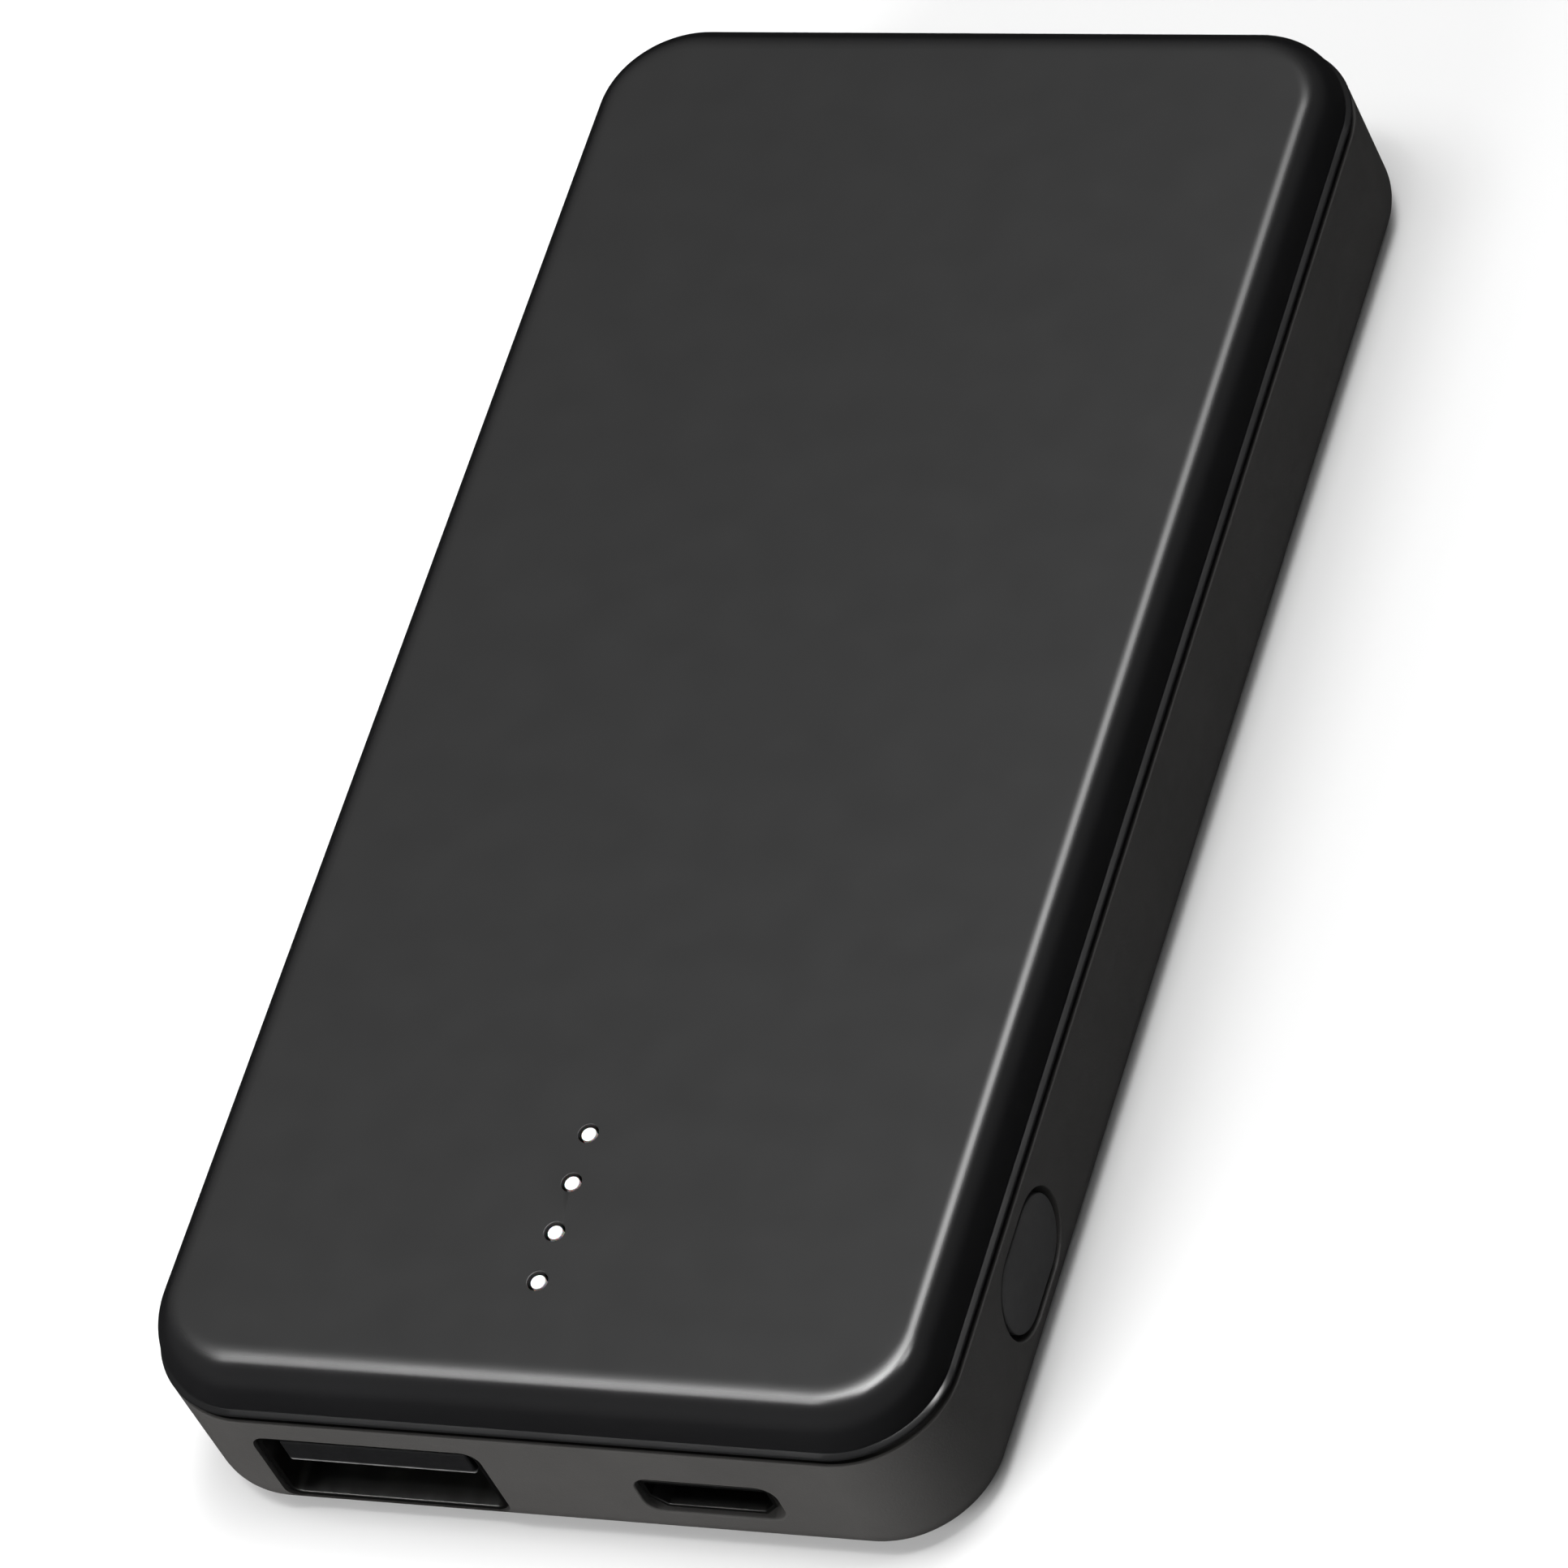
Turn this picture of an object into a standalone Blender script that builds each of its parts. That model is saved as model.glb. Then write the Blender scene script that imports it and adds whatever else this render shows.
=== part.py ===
"""Slim USB power bank: two-part plastic case, side button, four charge lights, USB-A and micro-USB ports,
one circuit board and one pouch cell.

Origin at the centre of the underside. The ports face -Y, the button faces +X, +Z is up.
"""

import math

import bmesh
import bpy
from mathutils import Matrix, Vector, geometry

mm = 0.001

# Gaps
gap = 0.3 * mm  # between pieces that rest on or pass each other
snug = 0.12 * mm  # around small soldered and seated pieces
slide_gap = 0.25 * mm  # all round the button in its opening

# Case
case_width = 46.0 * mm
case_length = 92.4 * mm
case_height = 12.2 * mm
seam_height = 9.2 * mm
seam_width = 0.4 * mm
corner_radius = 6.0 * mm
top_edge_drop = 2.3 * mm
top_edge_side = 2.1 * mm
top_edge_end = 2.8 * mm
bottom_edge_radius = 2.0 * mm
seam_roll = 0.45 * mm  # rounding of the cover's lower edge
seam_edge = 0.2 * mm  # break of the lower case's upper edge
wall = 1.6 * mm
floor_thickness = 1.1 * mm
roof_thickness = 1.2 * mm
skirt_thickness = 0.7 * mm
lip_height = 1.5 * mm
inner_chamfer = 0.4 * mm
corner_steps = 10
edge_steps = 6

# Snap tabs on the cover's long sides
snap_width = 6.0 * mm
snap_thickness = 0.8 * mm
snap_reach = 4.5 * mm
snap_nose = 0.5 * mm
snap_nose_height = 0.9 * mm
snap_rows = (-12.0 * mm, 12.0 * mm, 34.0 * mm)

# Circuit board
board_thickness = 0.8 * mm
board_standoff = 1.1 * mm
board_length = 20.1 * mm
board_left_margin = 0.6 * mm
board_right_margin = 2.8 * mm
coil_x = 9.6 * mm
coil_back = 12.4 * mm  # distance behind the front face
coil_radius = 2.9 * mm
coil_height = 2.8 * mm
coil_edge = 0.25 * mm
post_radius = 1.9 * mm
screw_radius = 0.6 * mm
screw_depth = 1.4 * mm
screw_head_radius = 1.2 * mm
screw_head_height = 0.55 * mm
screw_drive_width = 0.35 * mm
screw_drive_reach = 0.85 * mm
screw_drive_depth = 0.35 * mm
screw_places = ((-17.6 * mm, 19.2 * mm), (16.0 * mm, 4.9 * mm))  # x, distance behind the front face

# USB-A socket
socket_setback = 0.15 * mm  # how far both sockets' mouths lie behind the front face
usb_a_x = -10.2 * mm
usb_a_inner_width = 12.5 * mm
usb_a_inner_height = 5.12 * mm
usb_a_sheet = 0.3 * mm
usb_a_depth = 14.0 * mm
usb_a_clearance = 0.15 * mm  # between the socket and its opening
usb_a_corner = 0.5 * mm
usb_a_below_board = 0.81 * mm  # how far the socket is sunk below the board's underside
usb_a_tongue_width = 11.1 * mm
usb_a_tongue_height = 1.84 * mm
usb_a_tongue_roof = 0.66 * mm
usb_a_tongue_recess = 0.35 * mm
usb_a_block_depth = 4.5 * mm
usb_a_contact_width = 1.0 * mm
usb_a_contact_thickness = 0.3 * mm
usb_a_contact_setback = 1.2 * mm
usb_a_contact_places = (-3.5 * mm, -1.0 * mm, 1.0 * mm, 3.5 * mm)
usb_a_spring_width = 2.2 * mm
usb_a_spring_length = 5.0 * mm
usb_a_spring_slit = 0.4 * mm
usb_a_spring_x = 2.9 * mm
usb_a_spring_setback = 2.9 * mm

# Micro-USB socket
micro_x = 9.0 * mm
micro_width = 7.5 * mm
micro_height = 2.5 * mm
micro_sheet = 0.25 * mm
micro_depth = 5.3 * mm
micro_chamfer = 0.9 * mm
micro_clearance = 0.3 * mm
micro_opening_corner = 1.0 * mm
micro_tongue_width = 3.9 * mm
micro_tongue_height = 0.6 * mm
micro_tongue_roof = 0.35 * mm
micro_tongue_recess = 0.7 * mm
micro_block_depth = 1.4 * mm
micro_contact_width = 0.3 * mm
micro_contact_thickness = 0.2 * mm
micro_contact_setback = 0.4 * mm
micro_contact_pitch = 0.65 * mm
micro_contact_count = 5

# Charge lights
light_count = 4
light_x = -0.4 * mm
light_first = 7.75 * mm  # distance behind the front face
light_pitch = 3.05 * mm
light_pin_radius = 0.45 * mm
light_pin_gap = 0.13 * mm
light_pin_below_face = 0.04 * mm
light_rail_width = 1.8 * mm
light_rail_height = 1.0 * mm
light_rail_overhang = 2.0 * mm
light_leg = 1.0 * mm
led_width = 0.8 * mm
led_length = 1.6 * mm
led_height = 0.6 * mm

# Button and switch
button_back = 15.1 * mm  # distance behind the front face
button_length = 8.0 * mm
button_height = 5.2 * mm
button_z = 4.95 * mm
button_below_face = 0.08 * mm
button_crown = 0.12 * mm
button_flat = 0.05 * mm  # straight stretch left at each round end
button_flange = 0.8 * mm
button_flange_thickness = 0.6 * mm
button_stem_length = 2.6 * mm
button_stem_height = 1.4 * mm
button_travel = 0.3 * mm
switch_length = 6.0 * mm
switch_depth = 2.6 * mm
switch_height = 3.2 * mm
plunger_length = 2.4 * mm
plunger_height = 1.3 * mm
plunger_reach = 1.3 * mm
plunger_seat = 0.6 * mm
plunger_gap = 0.15 * mm

# Cell
cell_corner = 3.0 * mm
cell_edge = 1.2 * mm
cell_side_gap = 0.3 * mm  # to the snap tabs
cell_back_gap = 0.9 * mm  # to the case's rear wall
cell_board_room = 4.7 * mm  # between the circuit board and the cell
tape_width = 30.0 * mm
tape_length = 50.0 * mm
tape_thickness = 0.25 * mm
foam_width = 24.0 * mm
foam_length = 40.0 * mm
foam_thickness = 0.77 * mm
ledge_side_step = 1.5 * mm  # how much narrower the sealed ledge is than the cell, each side
ledge_depth = 2.3 * mm
ledge_height = 0.6 * mm
guard_board_width = 26.0 * mm
guard_board_depth = 2.1 * mm
guard_board_thickness = 0.7 * mm
tab_width = 3.6 * mm
tab_thickness = 0.2 * mm
tab_x = 8.5 * mm
lead_radius = 0.55 * mm
lead_x = 4.6 * mm
lead_landing = 1.9 * mm  # how far in from the board's rear edge the leads are soldered
lead_pull = 4.5 * mm
lead_rise = 3.2 * mm
lead_lean = 0.6 * mm
lead_points = 9

# Heights and places that follow from the sizes above
front = -case_length / 2
inner_side = case_width / 2 - wall
inner_front = front + wall
corner_centre_x = case_width / 2 - corner_radius
corner_centre_y = case_length / 2 - corner_radius
roof_z = case_height - roof_thickness
seam_low = seam_height - seam_width / 2
seam_high = seam_height + seam_width / 2
lip_top = seam_low + lip_height
edge_drop = min(top_edge_drop, case_height - seam_high - seam_roll)
board_low = floor_thickness + board_standoff
board_top = board_low + board_thickness
board_left = -inner_side + board_left_margin
board_right = inner_side - board_right_margin
board_front = inner_front + gap
board_back = board_front + board_length
part_seat = board_top + snug
usb_a_width = usb_a_inner_width + 2 * usb_a_sheet
usb_a_height = usb_a_inner_height + 2 * usb_a_sheet
usb_a_z = board_low - usb_a_below_board + usb_a_height / 2
micro_z = part_seat + micro_height / 2
socket_mouth = front + socket_setback
button_y = front + button_back
cell_rear = case_length / 2 - wall - cell_back_gap
cell_front = board_back + cell_board_room
cell_length = cell_rear - cell_front
cell_width = 2 * (inner_side - gap - snap_thickness - cell_side_gap)
tape_low = floor_thickness + snug
foam_low = roof_z - snug - foam_thickness
cell_low = tape_low + tape_thickness + snug
cell_height = foam_low - snug - cell_low
ledge_z = cell_low + cell_height / 2
guard_low = ledge_z + ledge_height / 2 + gap
guard_top = guard_low + guard_board_thickness


def empty_scene():
    for item in list(bpy.data.objects):
        bpy.data.objects.remove(item, do_unlink=True)


def make_material(name, colour, roughness, metallic=0.0):
    material = bpy.data.materials.new(name)
    material.use_nodes = True
    shader = material.node_tree.nodes["Principled BSDF"]
    shader.inputs["Base Color"].default_value = (*colour, 1.0)
    shader.inputs["Roughness"].default_value = roughness
    shader.inputs["Metallic"].default_value = metallic
    return material


def add_object(name, mesh_data, material=None, place=(0.0, 0.0, 0.0)):
    thing = bpy.data.objects.new(name, mesh_data)
    thing.location = place
    bpy.context.scene.collection.objects.link(thing)
    if material:
        mesh_data.materials.append(material)
    return thing


def mesh_object(name, shape, material=None, place=(0.0, 0.0, 0.0), smooth_angle=35.0):
    bmesh.ops.recalc_face_normals(shape, faces=shape.faces)
    mesh = bpy.data.meshes.new(name)
    shape.to_mesh(mesh)
    shape.free()
    mesh.shade_smooth()
    mesh.set_sharp_from_angle(angle=math.radians(smooth_angle))
    return add_object(name, mesh, material, place)


def hide_tool(tool):
    tool.hide_render = True
    tool.display_type = "WIRE"
    return tool


def combine(target, tool, operation):
    hide_tool(tool)
    step = target.modifiers.new(f"{operation.lower()} {tool.name}", "BOOLEAN")
    step.operation = operation
    step.object = tool
    step.solver = "EXACT"


def cut(target, tool):
    combine(target, tool, "DIFFERENCE")


def fuse(target, tool):
    combine(target, tool, "UNION")


def rounded_outline(width, height, radius, steps):
    """Anticlockwise points of a rectangle with round corners, centred on the origin."""
    points = []
    for corner, (side_u, side_v) in enumerate(((1, 1), (-1, 1), (-1, -1), (1, -1))):
        centre_u = side_u * (width / 2 - radius)
        centre_v = side_v * (height / 2 - radius)
        for step in range(steps + 1):
            angle = math.radians(90.0 * (corner + step / steps))
            points.append((centre_u + radius * math.cos(angle), centre_v + radius * math.sin(angle)))
    return points


def case_ring(side_inset, end_inset, z):
    """The case's outline at one height, drawn in from the sides and from the ends."""
    points = []
    for corner, (side_x, side_y) in enumerate(((1, 1), (-1, 1), (-1, -1), (1, -1))):
        centre_x = side_x * corner_centre_x
        centre_y = side_y * corner_centre_y
        for step in range(corner_steps + 1):
            angle = math.radians(90.0 * (corner + step / corner_steps))
            x = centre_x + (corner_radius - side_inset) * math.cos(angle)
            y = centre_y + (corner_radius - end_inset) * math.sin(angle)
            points.append((x, y, z))
    return points


def even_ring(inset, z):
    return case_ring(inset, inset, z)


def loft(rings, ring_closed=False):
    """Join a row of rings with quads. The ends are filled, or joined when the row is closed."""
    shape = bmesh.new()
    loops = [[shape.verts.new(point) for point in ring] for ring in rings]
    pairs = list(zip(loops, loops[1:]))
    if ring_closed:
        pairs.append((loops[-1], loops[0]))
    for one, other in pairs:
        for i in range(len(one)):
            shape.faces.new((one[i - 1], one[i], other[i], other[i - 1]))
    if not ring_closed:
        shape.faces.new(loops[0])
        shape.faces.new(loops[-1])
    return shape


def block_shape(width, length, height, edge=0.0, edge_segments=2):
    shape = bmesh.new()
    bmesh.ops.create_cube(shape, size=1.0)
    bmesh.ops.scale(shape, vec=(width, length, height), verts=shape.verts)
    if edge:
        bmesh.ops.bevel(
            shape,
            geom=shape.edges[:],
            offset=edge,
            segments=edge_segments,
            profile=0.5,
            affect="EDGES",
        )
    return shape


def add_block(name, low, high, material=None, edge=0.0, edge_segments=2):
    """A box between two corners, with rounded edges if edge is given."""
    low = Vector(low)
    high = Vector(high)
    size = high - low
    shape = block_shape(size.x, size.y, size.z, edge, edge_segments)
    return mesh_object(name, shape, material, (low + high) / 2)


def extrude_outline(points, depth, axis):
    """A prism from a flat outline. axis is the direction that the outline faces and is extruded along."""
    shape = bmesh.new()
    verts = [shape.verts.new((u, v, -depth / 2)) for u, v in points]
    face = shape.faces.new(verts)
    grown = bmesh.ops.extrude_face_region(shape, geom=[face])
    moved = [item for item in grown["geom"] if isinstance(item, bmesh.types.BMVert)]
    bmesh.ops.translate(shape, vec=(0.0, 0.0, depth), verts=moved)
    turns = {
        "Z": Matrix.Identity(3),
        "Y": Matrix(((1, 0, 0), (0, 0, -1), (0, 1, 0))),
        "X": Matrix(((0, 0, 1), (1, 0, 0), (0, 1, 0))),
    }
    bmesh.ops.transform(shape, matrix=turns[axis].to_4x4(), verts=shape.verts)
    return shape


def cylinder_shape(radius, height, segments):
    shape = bmesh.new()
    bmesh.ops.create_cone(
        shape,
        cap_ends=True,
        segments=segments,
        radius1=radius,
        radius2=radius,
        depth=height,
    )
    return shape


def add_cylinder(name, radius, low, high, place, material=None, segments=24):
    """An upright cylinder between two heights at place (x, y)."""
    shape = cylinder_shape(radius, high - low, segments)
    return mesh_object(name, shape, material, (*place, (low + high) / 2))


def bent_strip(path, thickness, width):
    """A strip that follows a path of (y, z) points with square bends, width along X."""
    outline = []
    for side in (1, -1):
        offset_points = []
        for index, point in enumerate(path):
            before = Vector(path[max(index - 1, 0)])
            after = Vector(path[min(index + 1, len(path) - 1)])
            here = Vector(point)
            normals = []
            for start, end in ((before, here), (here, after)):
                along = end - start
                if along.length:
                    normals.append(Vector((-along.y, along.x)).normalized())
            miter = sum(normals, Vector((0.0, 0.0)))
            miter = miter / max(miter.dot(normals[0]), 0.1)
            offset_points.append(here + miter * side * thickness / 2)
        outline += offset_points if side == 1 else offset_points[::-1]
    return extrude_outline([tuple(point) for point in outline], width, "X")


def build_materials():
    return {
        "cover": make_material("cover plastic", (0.038, 0.038, 0.038), 0.34),
        "case": make_material("case plastic", (0.045, 0.044, 0.043), 0.55),
        "button": make_material("button plastic", (0.020, 0.020, 0.021), 0.45),
        "light": make_material("light guide", (0.92, 0.93, 0.93), 0.25),
        "led": make_material("led body", (0.80, 0.78, 0.62), 0.35),
        "steel": make_material("socket steel", (0.62, 0.62, 0.60), 0.30, 1.0),
        "gold": make_material("contact gold", (0.85, 0.62, 0.25), 0.28, 1.0),
        "insulator": make_material("socket insulator", (0.012, 0.012, 0.012), 0.50),
        "board": make_material("circuit board", (0.02, 0.14, 0.06), 0.40),
        "chip": make_material("chip package", (0.02, 0.02, 0.022), 0.55),
        "ceramic": make_material("capacitor ceramic", (0.42, 0.30, 0.19), 0.50),
        "ferrite": make_material("inductor ferrite", (0.10, 0.10, 0.11), 0.60),
        "pouch": make_material("cell pouch", (0.66, 0.67, 0.68), 0.32, 0.8),
        "nickel": make_material("nickel strip", (0.70, 0.68, 0.63), 0.30, 1.0),
        "red": make_material("positive lead", (0.55, 0.03, 0.02), 0.45),
        "black": make_material("negative lead", (0.02, 0.02, 0.02), 0.45),
        "foam": make_material("foam pad", (0.05, 0.05, 0.05), 0.90),
        "tape": make_material("adhesive tape", (0.80, 0.78, 0.70), 0.60),
        "screw": make_material("screw steel", (0.50, 0.50, 0.50), 0.35, 1.0),
    }


def snap_boxes(name, grow, material=None):
    """Corner boxes of every snap tab's nose, grown all round: cover noses or case pockets."""
    low_z = roof_z - snap_reach
    tip = inner_side - gap + snap_nose
    boxes = []
    for side in (-1, 1):
        for row, y in enumerate(snap_rows):
            reach = (inner_side - gap - snap_thickness, tip + grow)
            low_x, high_x = sorted((side * reach[0], side * reach[1]))
            low = (low_x, y - snap_width / 2 - grow, low_z - grow)
            high = (high_x, y + snap_width / 2 + grow, low_z + snap_nose_height + grow)
            boxes.append(add_block(f"{name}_{'left' if side < 0 else 'right'}_{row}", low, high, material))
    return boxes


def add_usb_a_opening():
    width = usb_a_width + 2 * usb_a_clearance
    height = usb_a_height + 2 * usb_a_clearance
    corner = usb_a_corner + usb_a_sheet + usb_a_clearance
    outline = rounded_outline(width, height, corner, 4)
    shape = extrude_outline(outline, 3 * wall, "Y")
    return mesh_object("usb_a_opening_tool", shape, place=(usb_a_x, front, usb_a_z))


def add_micro_opening():
    width = micro_width + 2 * micro_clearance
    height = micro_height + 2 * micro_clearance
    outline = rounded_outline(width, height, micro_opening_corner, 5)
    shape = extrude_outline(outline, 3 * wall, "Y")
    return mesh_object("micro_usb_opening_tool", shape, place=(micro_x, front, micro_z))


def button_outline(grow):
    height = button_height + 2 * grow
    return rounded_outline(button_length + 2 * grow, height, height / 2 - button_flat, 10)


def add_button_opening():
    shape = extrude_outline(button_outline(slide_gap), 3 * wall, "X")
    return mesh_object("button_opening_tool", shape, place=(case_width / 2, button_y, button_z))


def screw_spots():
    return [(x, front + back) for x, back in screw_places]


def build_bottom_case(material):
    outer = []
    for step in range(edge_steps + 1):
        angle = math.radians(90.0 * step / edge_steps)
        inset = bottom_edge_radius * (1 - math.sin(angle))
        outer.append(even_ring(inset, bottom_edge_radius * (1 - math.cos(angle))))
    rim = [
        even_ring(0.0, seam_low - seam_edge),
        even_ring(seam_edge, seam_low),
        even_ring(skirt_thickness + gap, seam_low),
        even_ring(skirt_thickness + gap, lip_top),
        even_ring(wall, lip_top),
    ]
    inner = [
        even_ring(wall, floor_thickness + inner_chamfer),
        even_ring(wall + inner_chamfer, floor_thickness),
    ]
    case = mesh_object("bottom_case", loft(outer + rim + inner), material)
    for index, spot in enumerate(screw_spots(), 1):
        post_low = floor_thickness / 2
        fuse(case, add_cylinder(f"post_tool_{index}", post_radius, post_low, board_low - snug, spot))
    for pocket in snap_boxes("snap_pocket", gap):
        cut(case, pocket)
    cut(case, add_usb_a_opening())
    cut(case, add_micro_opening())
    cut(case, add_button_opening())
    for index, spot in enumerate(screw_spots(), 1):
        hole_low = board_low - screw_depth - gap
        hole = add_cylinder(f"pilot_tool_{index}", screw_radius + snug, hole_low, board_low + gap, spot)
        cut(case, hole)
    return case


def build_top_cover(material):
    inner = [
        even_ring(max(top_edge_side, top_edge_end), roof_z),
        even_ring(skirt_thickness, lip_top + gap),
        even_ring(skirt_thickness, seam_high),
    ]
    outer = []
    for step in range(edge_steps // 2 + 1):
        angle = math.radians(90.0 * step / (edge_steps // 2))
        inset = seam_roll * (1 - math.sin(angle))
        outer.append(even_ring(inset, seam_high + seam_roll * (1 - math.cos(angle))))
    for step in range(edge_steps + 3):
        angle = math.radians(90.0 * step / (edge_steps + 2))
        draw_in = 1 - math.cos(angle)
        z = case_height - edge_drop * (1 - math.sin(angle))
        outer.append(case_ring(top_edge_side * draw_in, top_edge_end * draw_in, z))
    cover = mesh_object("top_cover", loft(inner + outer), material)
    arm_low = roof_z - snap_reach
    for side in (-1, 1):
        for row, y in enumerate(snap_rows):
            faces = (side * (inner_side - gap - snap_thickness), side * (inner_side - gap))
            low = (min(faces), y - snap_width / 2, arm_low)
            high = (max(faces), y + snap_width / 2, roof_z + roof_thickness / 2)
            name = f"snap_arm_{'left' if side < 0 else 'right'}_{row}"
            fuse(cover, add_block(name, low, high))
    for nose in snap_boxes("snap_nose", 0.0):
        fuse(cover, nose)
    for index, y in enumerate(light_rows(), 1):
        bore_low = roof_z - roof_thickness
        bore_high = case_height + roof_thickness
        radius = light_pin_radius + light_pin_gap
        cut(cover, add_cylinder(f"light_bore_tool_{index}", radius, bore_low, bore_high, (light_x, y)))
    return cover


def light_rows():
    return [front + light_first + index * light_pitch for index in range(light_count)]


def build_lights(materials):
    rows = light_rows()
    rail_low = part_seat + led_height + gap
    rail_top = rail_low + light_rail_height
    rail_start = rows[0] - light_rail_overhang
    rail_end = rows[-1] + light_rail_overhang
    half = light_rail_width / 2
    low = (light_x - half, rail_start, rail_low)
    high = (light_x + half, rail_end, rail_top)
    guide = add_block("light_guide", low, high, materials["light"])
    for index, y in enumerate(rows, 1):
        pin_top = case_height - light_pin_below_face
        spot = (light_x, y)
        pin = add_cylinder(f"pin_tool_{index}", light_pin_radius, rail_low + half / 2, pin_top, spot)
        fuse(guide, pin)
    for name, start in (("front", rail_start), ("rear", rail_end - light_leg)):
        low = (light_x - half, start, part_seat)
        high = (light_x + half, start + light_leg, rail_low + light_rail_height / 2)
        fuse(guide, add_block(f"leg_tool_{name}", low, high))
    for index, y in enumerate(rows, 1):
        low = (light_x - led_width / 2, y - led_length / 2, part_seat)
        high = (light_x + led_width / 2, y + led_length / 2, part_seat + led_height)
        add_block(f"led_{index}", low, high, materials["led"], edge=0.05 * mm, edge_segments=1)


def sleeve_rings(outer, inner, front_y, back_y):
    return [
        [(u, front_y, v) for u, v in outer],
        [(u, back_y, v) for u, v in outer],
        [(u, back_y, v) for u, v in inner],
        [(u, front_y, v) for u, v in inner],
    ]


def build_usb_a(materials):
    outer = rounded_outline(usb_a_width, usb_a_height, usb_a_corner + usb_a_sheet, 4)
    inner = rounded_outline(usb_a_inner_width, usb_a_inner_height, usb_a_corner, 4)
    shape = loft(sleeve_rings(outer, inner, 0.0, usb_a_depth), ring_closed=True)
    mouth = (usb_a_x, socket_mouth, usb_a_z)
    shield = mesh_object("usb_a_shield", shape, materials["steel"], mouth)
    slit = usb_a_spring_slit
    half = usb_a_spring_width / 2
    start = usb_a_spring_setback
    end = start + usb_a_spring_length
    for side in (-1, 1):
        for face in (-1, 1):
            slot = [
                (-half - slit, start),
                (-half - slit, end),
                (half + slit, end),
                (half + slit, start),
                (half, start),
                (half, end - slit),
                (-half, end - slit),
                (-half, start),
            ]
            shape = extrude_outline(slot, 4 * usb_a_sheet, "Z")
            centre_z = usb_a_z + face * (usb_a_height / 2 - usb_a_sheet / 2)
            name = f"spring_slot_{'left' if side < 0 else 'right'}_{'top' if face > 0 else 'bottom'}"
            place = (usb_a_x + side * usb_a_spring_x, socket_mouth, centre_z)
            cut(shield, mesh_object(name, shape, place=place))

    block_width = usb_a_inner_width - 2 * snug
    block_height = usb_a_inner_height - 2 * snug
    block_front = socket_mouth + usb_a_depth - usb_a_block_depth
    low = (usb_a_x - block_width / 2, block_front, usb_a_z - block_height / 2)
    high = (usb_a_x + block_width / 2, socket_mouth + usb_a_depth, usb_a_z + block_height / 2)
    insulator = add_block("usb_a_insulator", low, high, materials["insulator"], edge=usb_a_corner)
    tongue_top = usb_a_z + usb_a_inner_height / 2 - usb_a_tongue_roof
    tongue_low = tongue_top - usb_a_tongue_height
    tongue_front = socket_mouth + usb_a_tongue_recess
    low = (usb_a_x - usb_a_tongue_width / 2, tongue_front, tongue_low)
    high = (usb_a_x + usb_a_tongue_width / 2, block_front + usb_a_block_depth / 2, tongue_top)
    fuse(insulator, add_block("tongue_tool", low, high, edge=0.15 * mm, edge_segments=1))

    contact_end = block_front + usb_a_block_depth / 3
    for index, offset in enumerate(usb_a_contact_places, 1):
        x = usb_a_x + offset
        half = usb_a_contact_width / 2
        start = tongue_front + usb_a_contact_setback
        groove_top = tongue_low + usb_a_contact_thickness
        low = (x - half - snug, start - snug, tongue_low - usb_a_contact_thickness)
        high = (x + half + snug, contact_end + snug, groove_top + snug)
        cut(insulator, add_block(f"contact_groove_{index}", low, high))
        low = (x - half, start, tongue_low - snug)
        high = (x + half, contact_end, groove_top)
        add_block(f"usb_a_contact_{index}", low, high, materials["gold"], edge=0.08 * mm, edge_segments=1)


def micro_outline(inset):
    """The socket's outline: square at the top, drawn in at both lower corners."""
    side = micro_width / 2 - inset
    top = micro_height / 2 - inset
    shoulder = -micro_height / 2 + micro_chamfer
    foot = micro_width / 2 - micro_chamfer - inset / 2
    return [(side, shoulder), (side, top), (-side, top), (-side, shoulder), (-foot, -top), (foot, -top)]


def build_micro_usb(materials):
    rings = sleeve_rings(micro_outline(0.0), micro_outline(micro_sheet), 0.0, micro_depth)
    mouth = (micro_x, socket_mouth, micro_z)
    mesh_object("micro_usb_shell", loft(rings, ring_closed=True), materials["steel"], mouth)

    plug_outline = micro_outline(micro_sheet + snug)
    block_front = socket_mouth + micro_depth - micro_block_depth
    place = (micro_x, block_front + micro_block_depth / 2, micro_z)
    block = extrude_outline(plug_outline, micro_block_depth, "Y")
    insulator = mesh_object("micro_usb_insulator", block, materials["insulator"], place)
    tongue_top = micro_z + micro_height / 2 - micro_sheet - micro_tongue_roof
    tongue_low = tongue_top - micro_tongue_height
    tongue_front = socket_mouth + micro_tongue_recess
    low = (micro_x - micro_tongue_width / 2, tongue_front, tongue_low)
    high = (micro_x + micro_tongue_width / 2, block_front + micro_block_depth / 2, tongue_top)
    fuse(insulator, add_block("micro_tongue_tool", low, high))

    contact_end = block_front + micro_block_depth / 3
    for index in range(micro_contact_count):
        x = micro_x + (index - (micro_contact_count - 1) / 2) * micro_contact_pitch
        half = micro_contact_width / 2
        start = tongue_front + micro_contact_setback
        depth = micro_contact_thickness / 2
        low = (x - half - depth / 2, start - depth / 2, tongue_low - micro_contact_thickness)
        high = (x + half + depth / 2, contact_end + depth / 2, tongue_low + 1.5 * depth)
        cut(insulator, add_block(f"micro_groove_{index + 1}", low, high))
        low = (x - half, start, tongue_low - depth)
        high = (x + half, contact_end, tongue_low + depth)
        add_block(f"micro_usb_contact_{index + 1}", low, high, materials["gold"])


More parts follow.
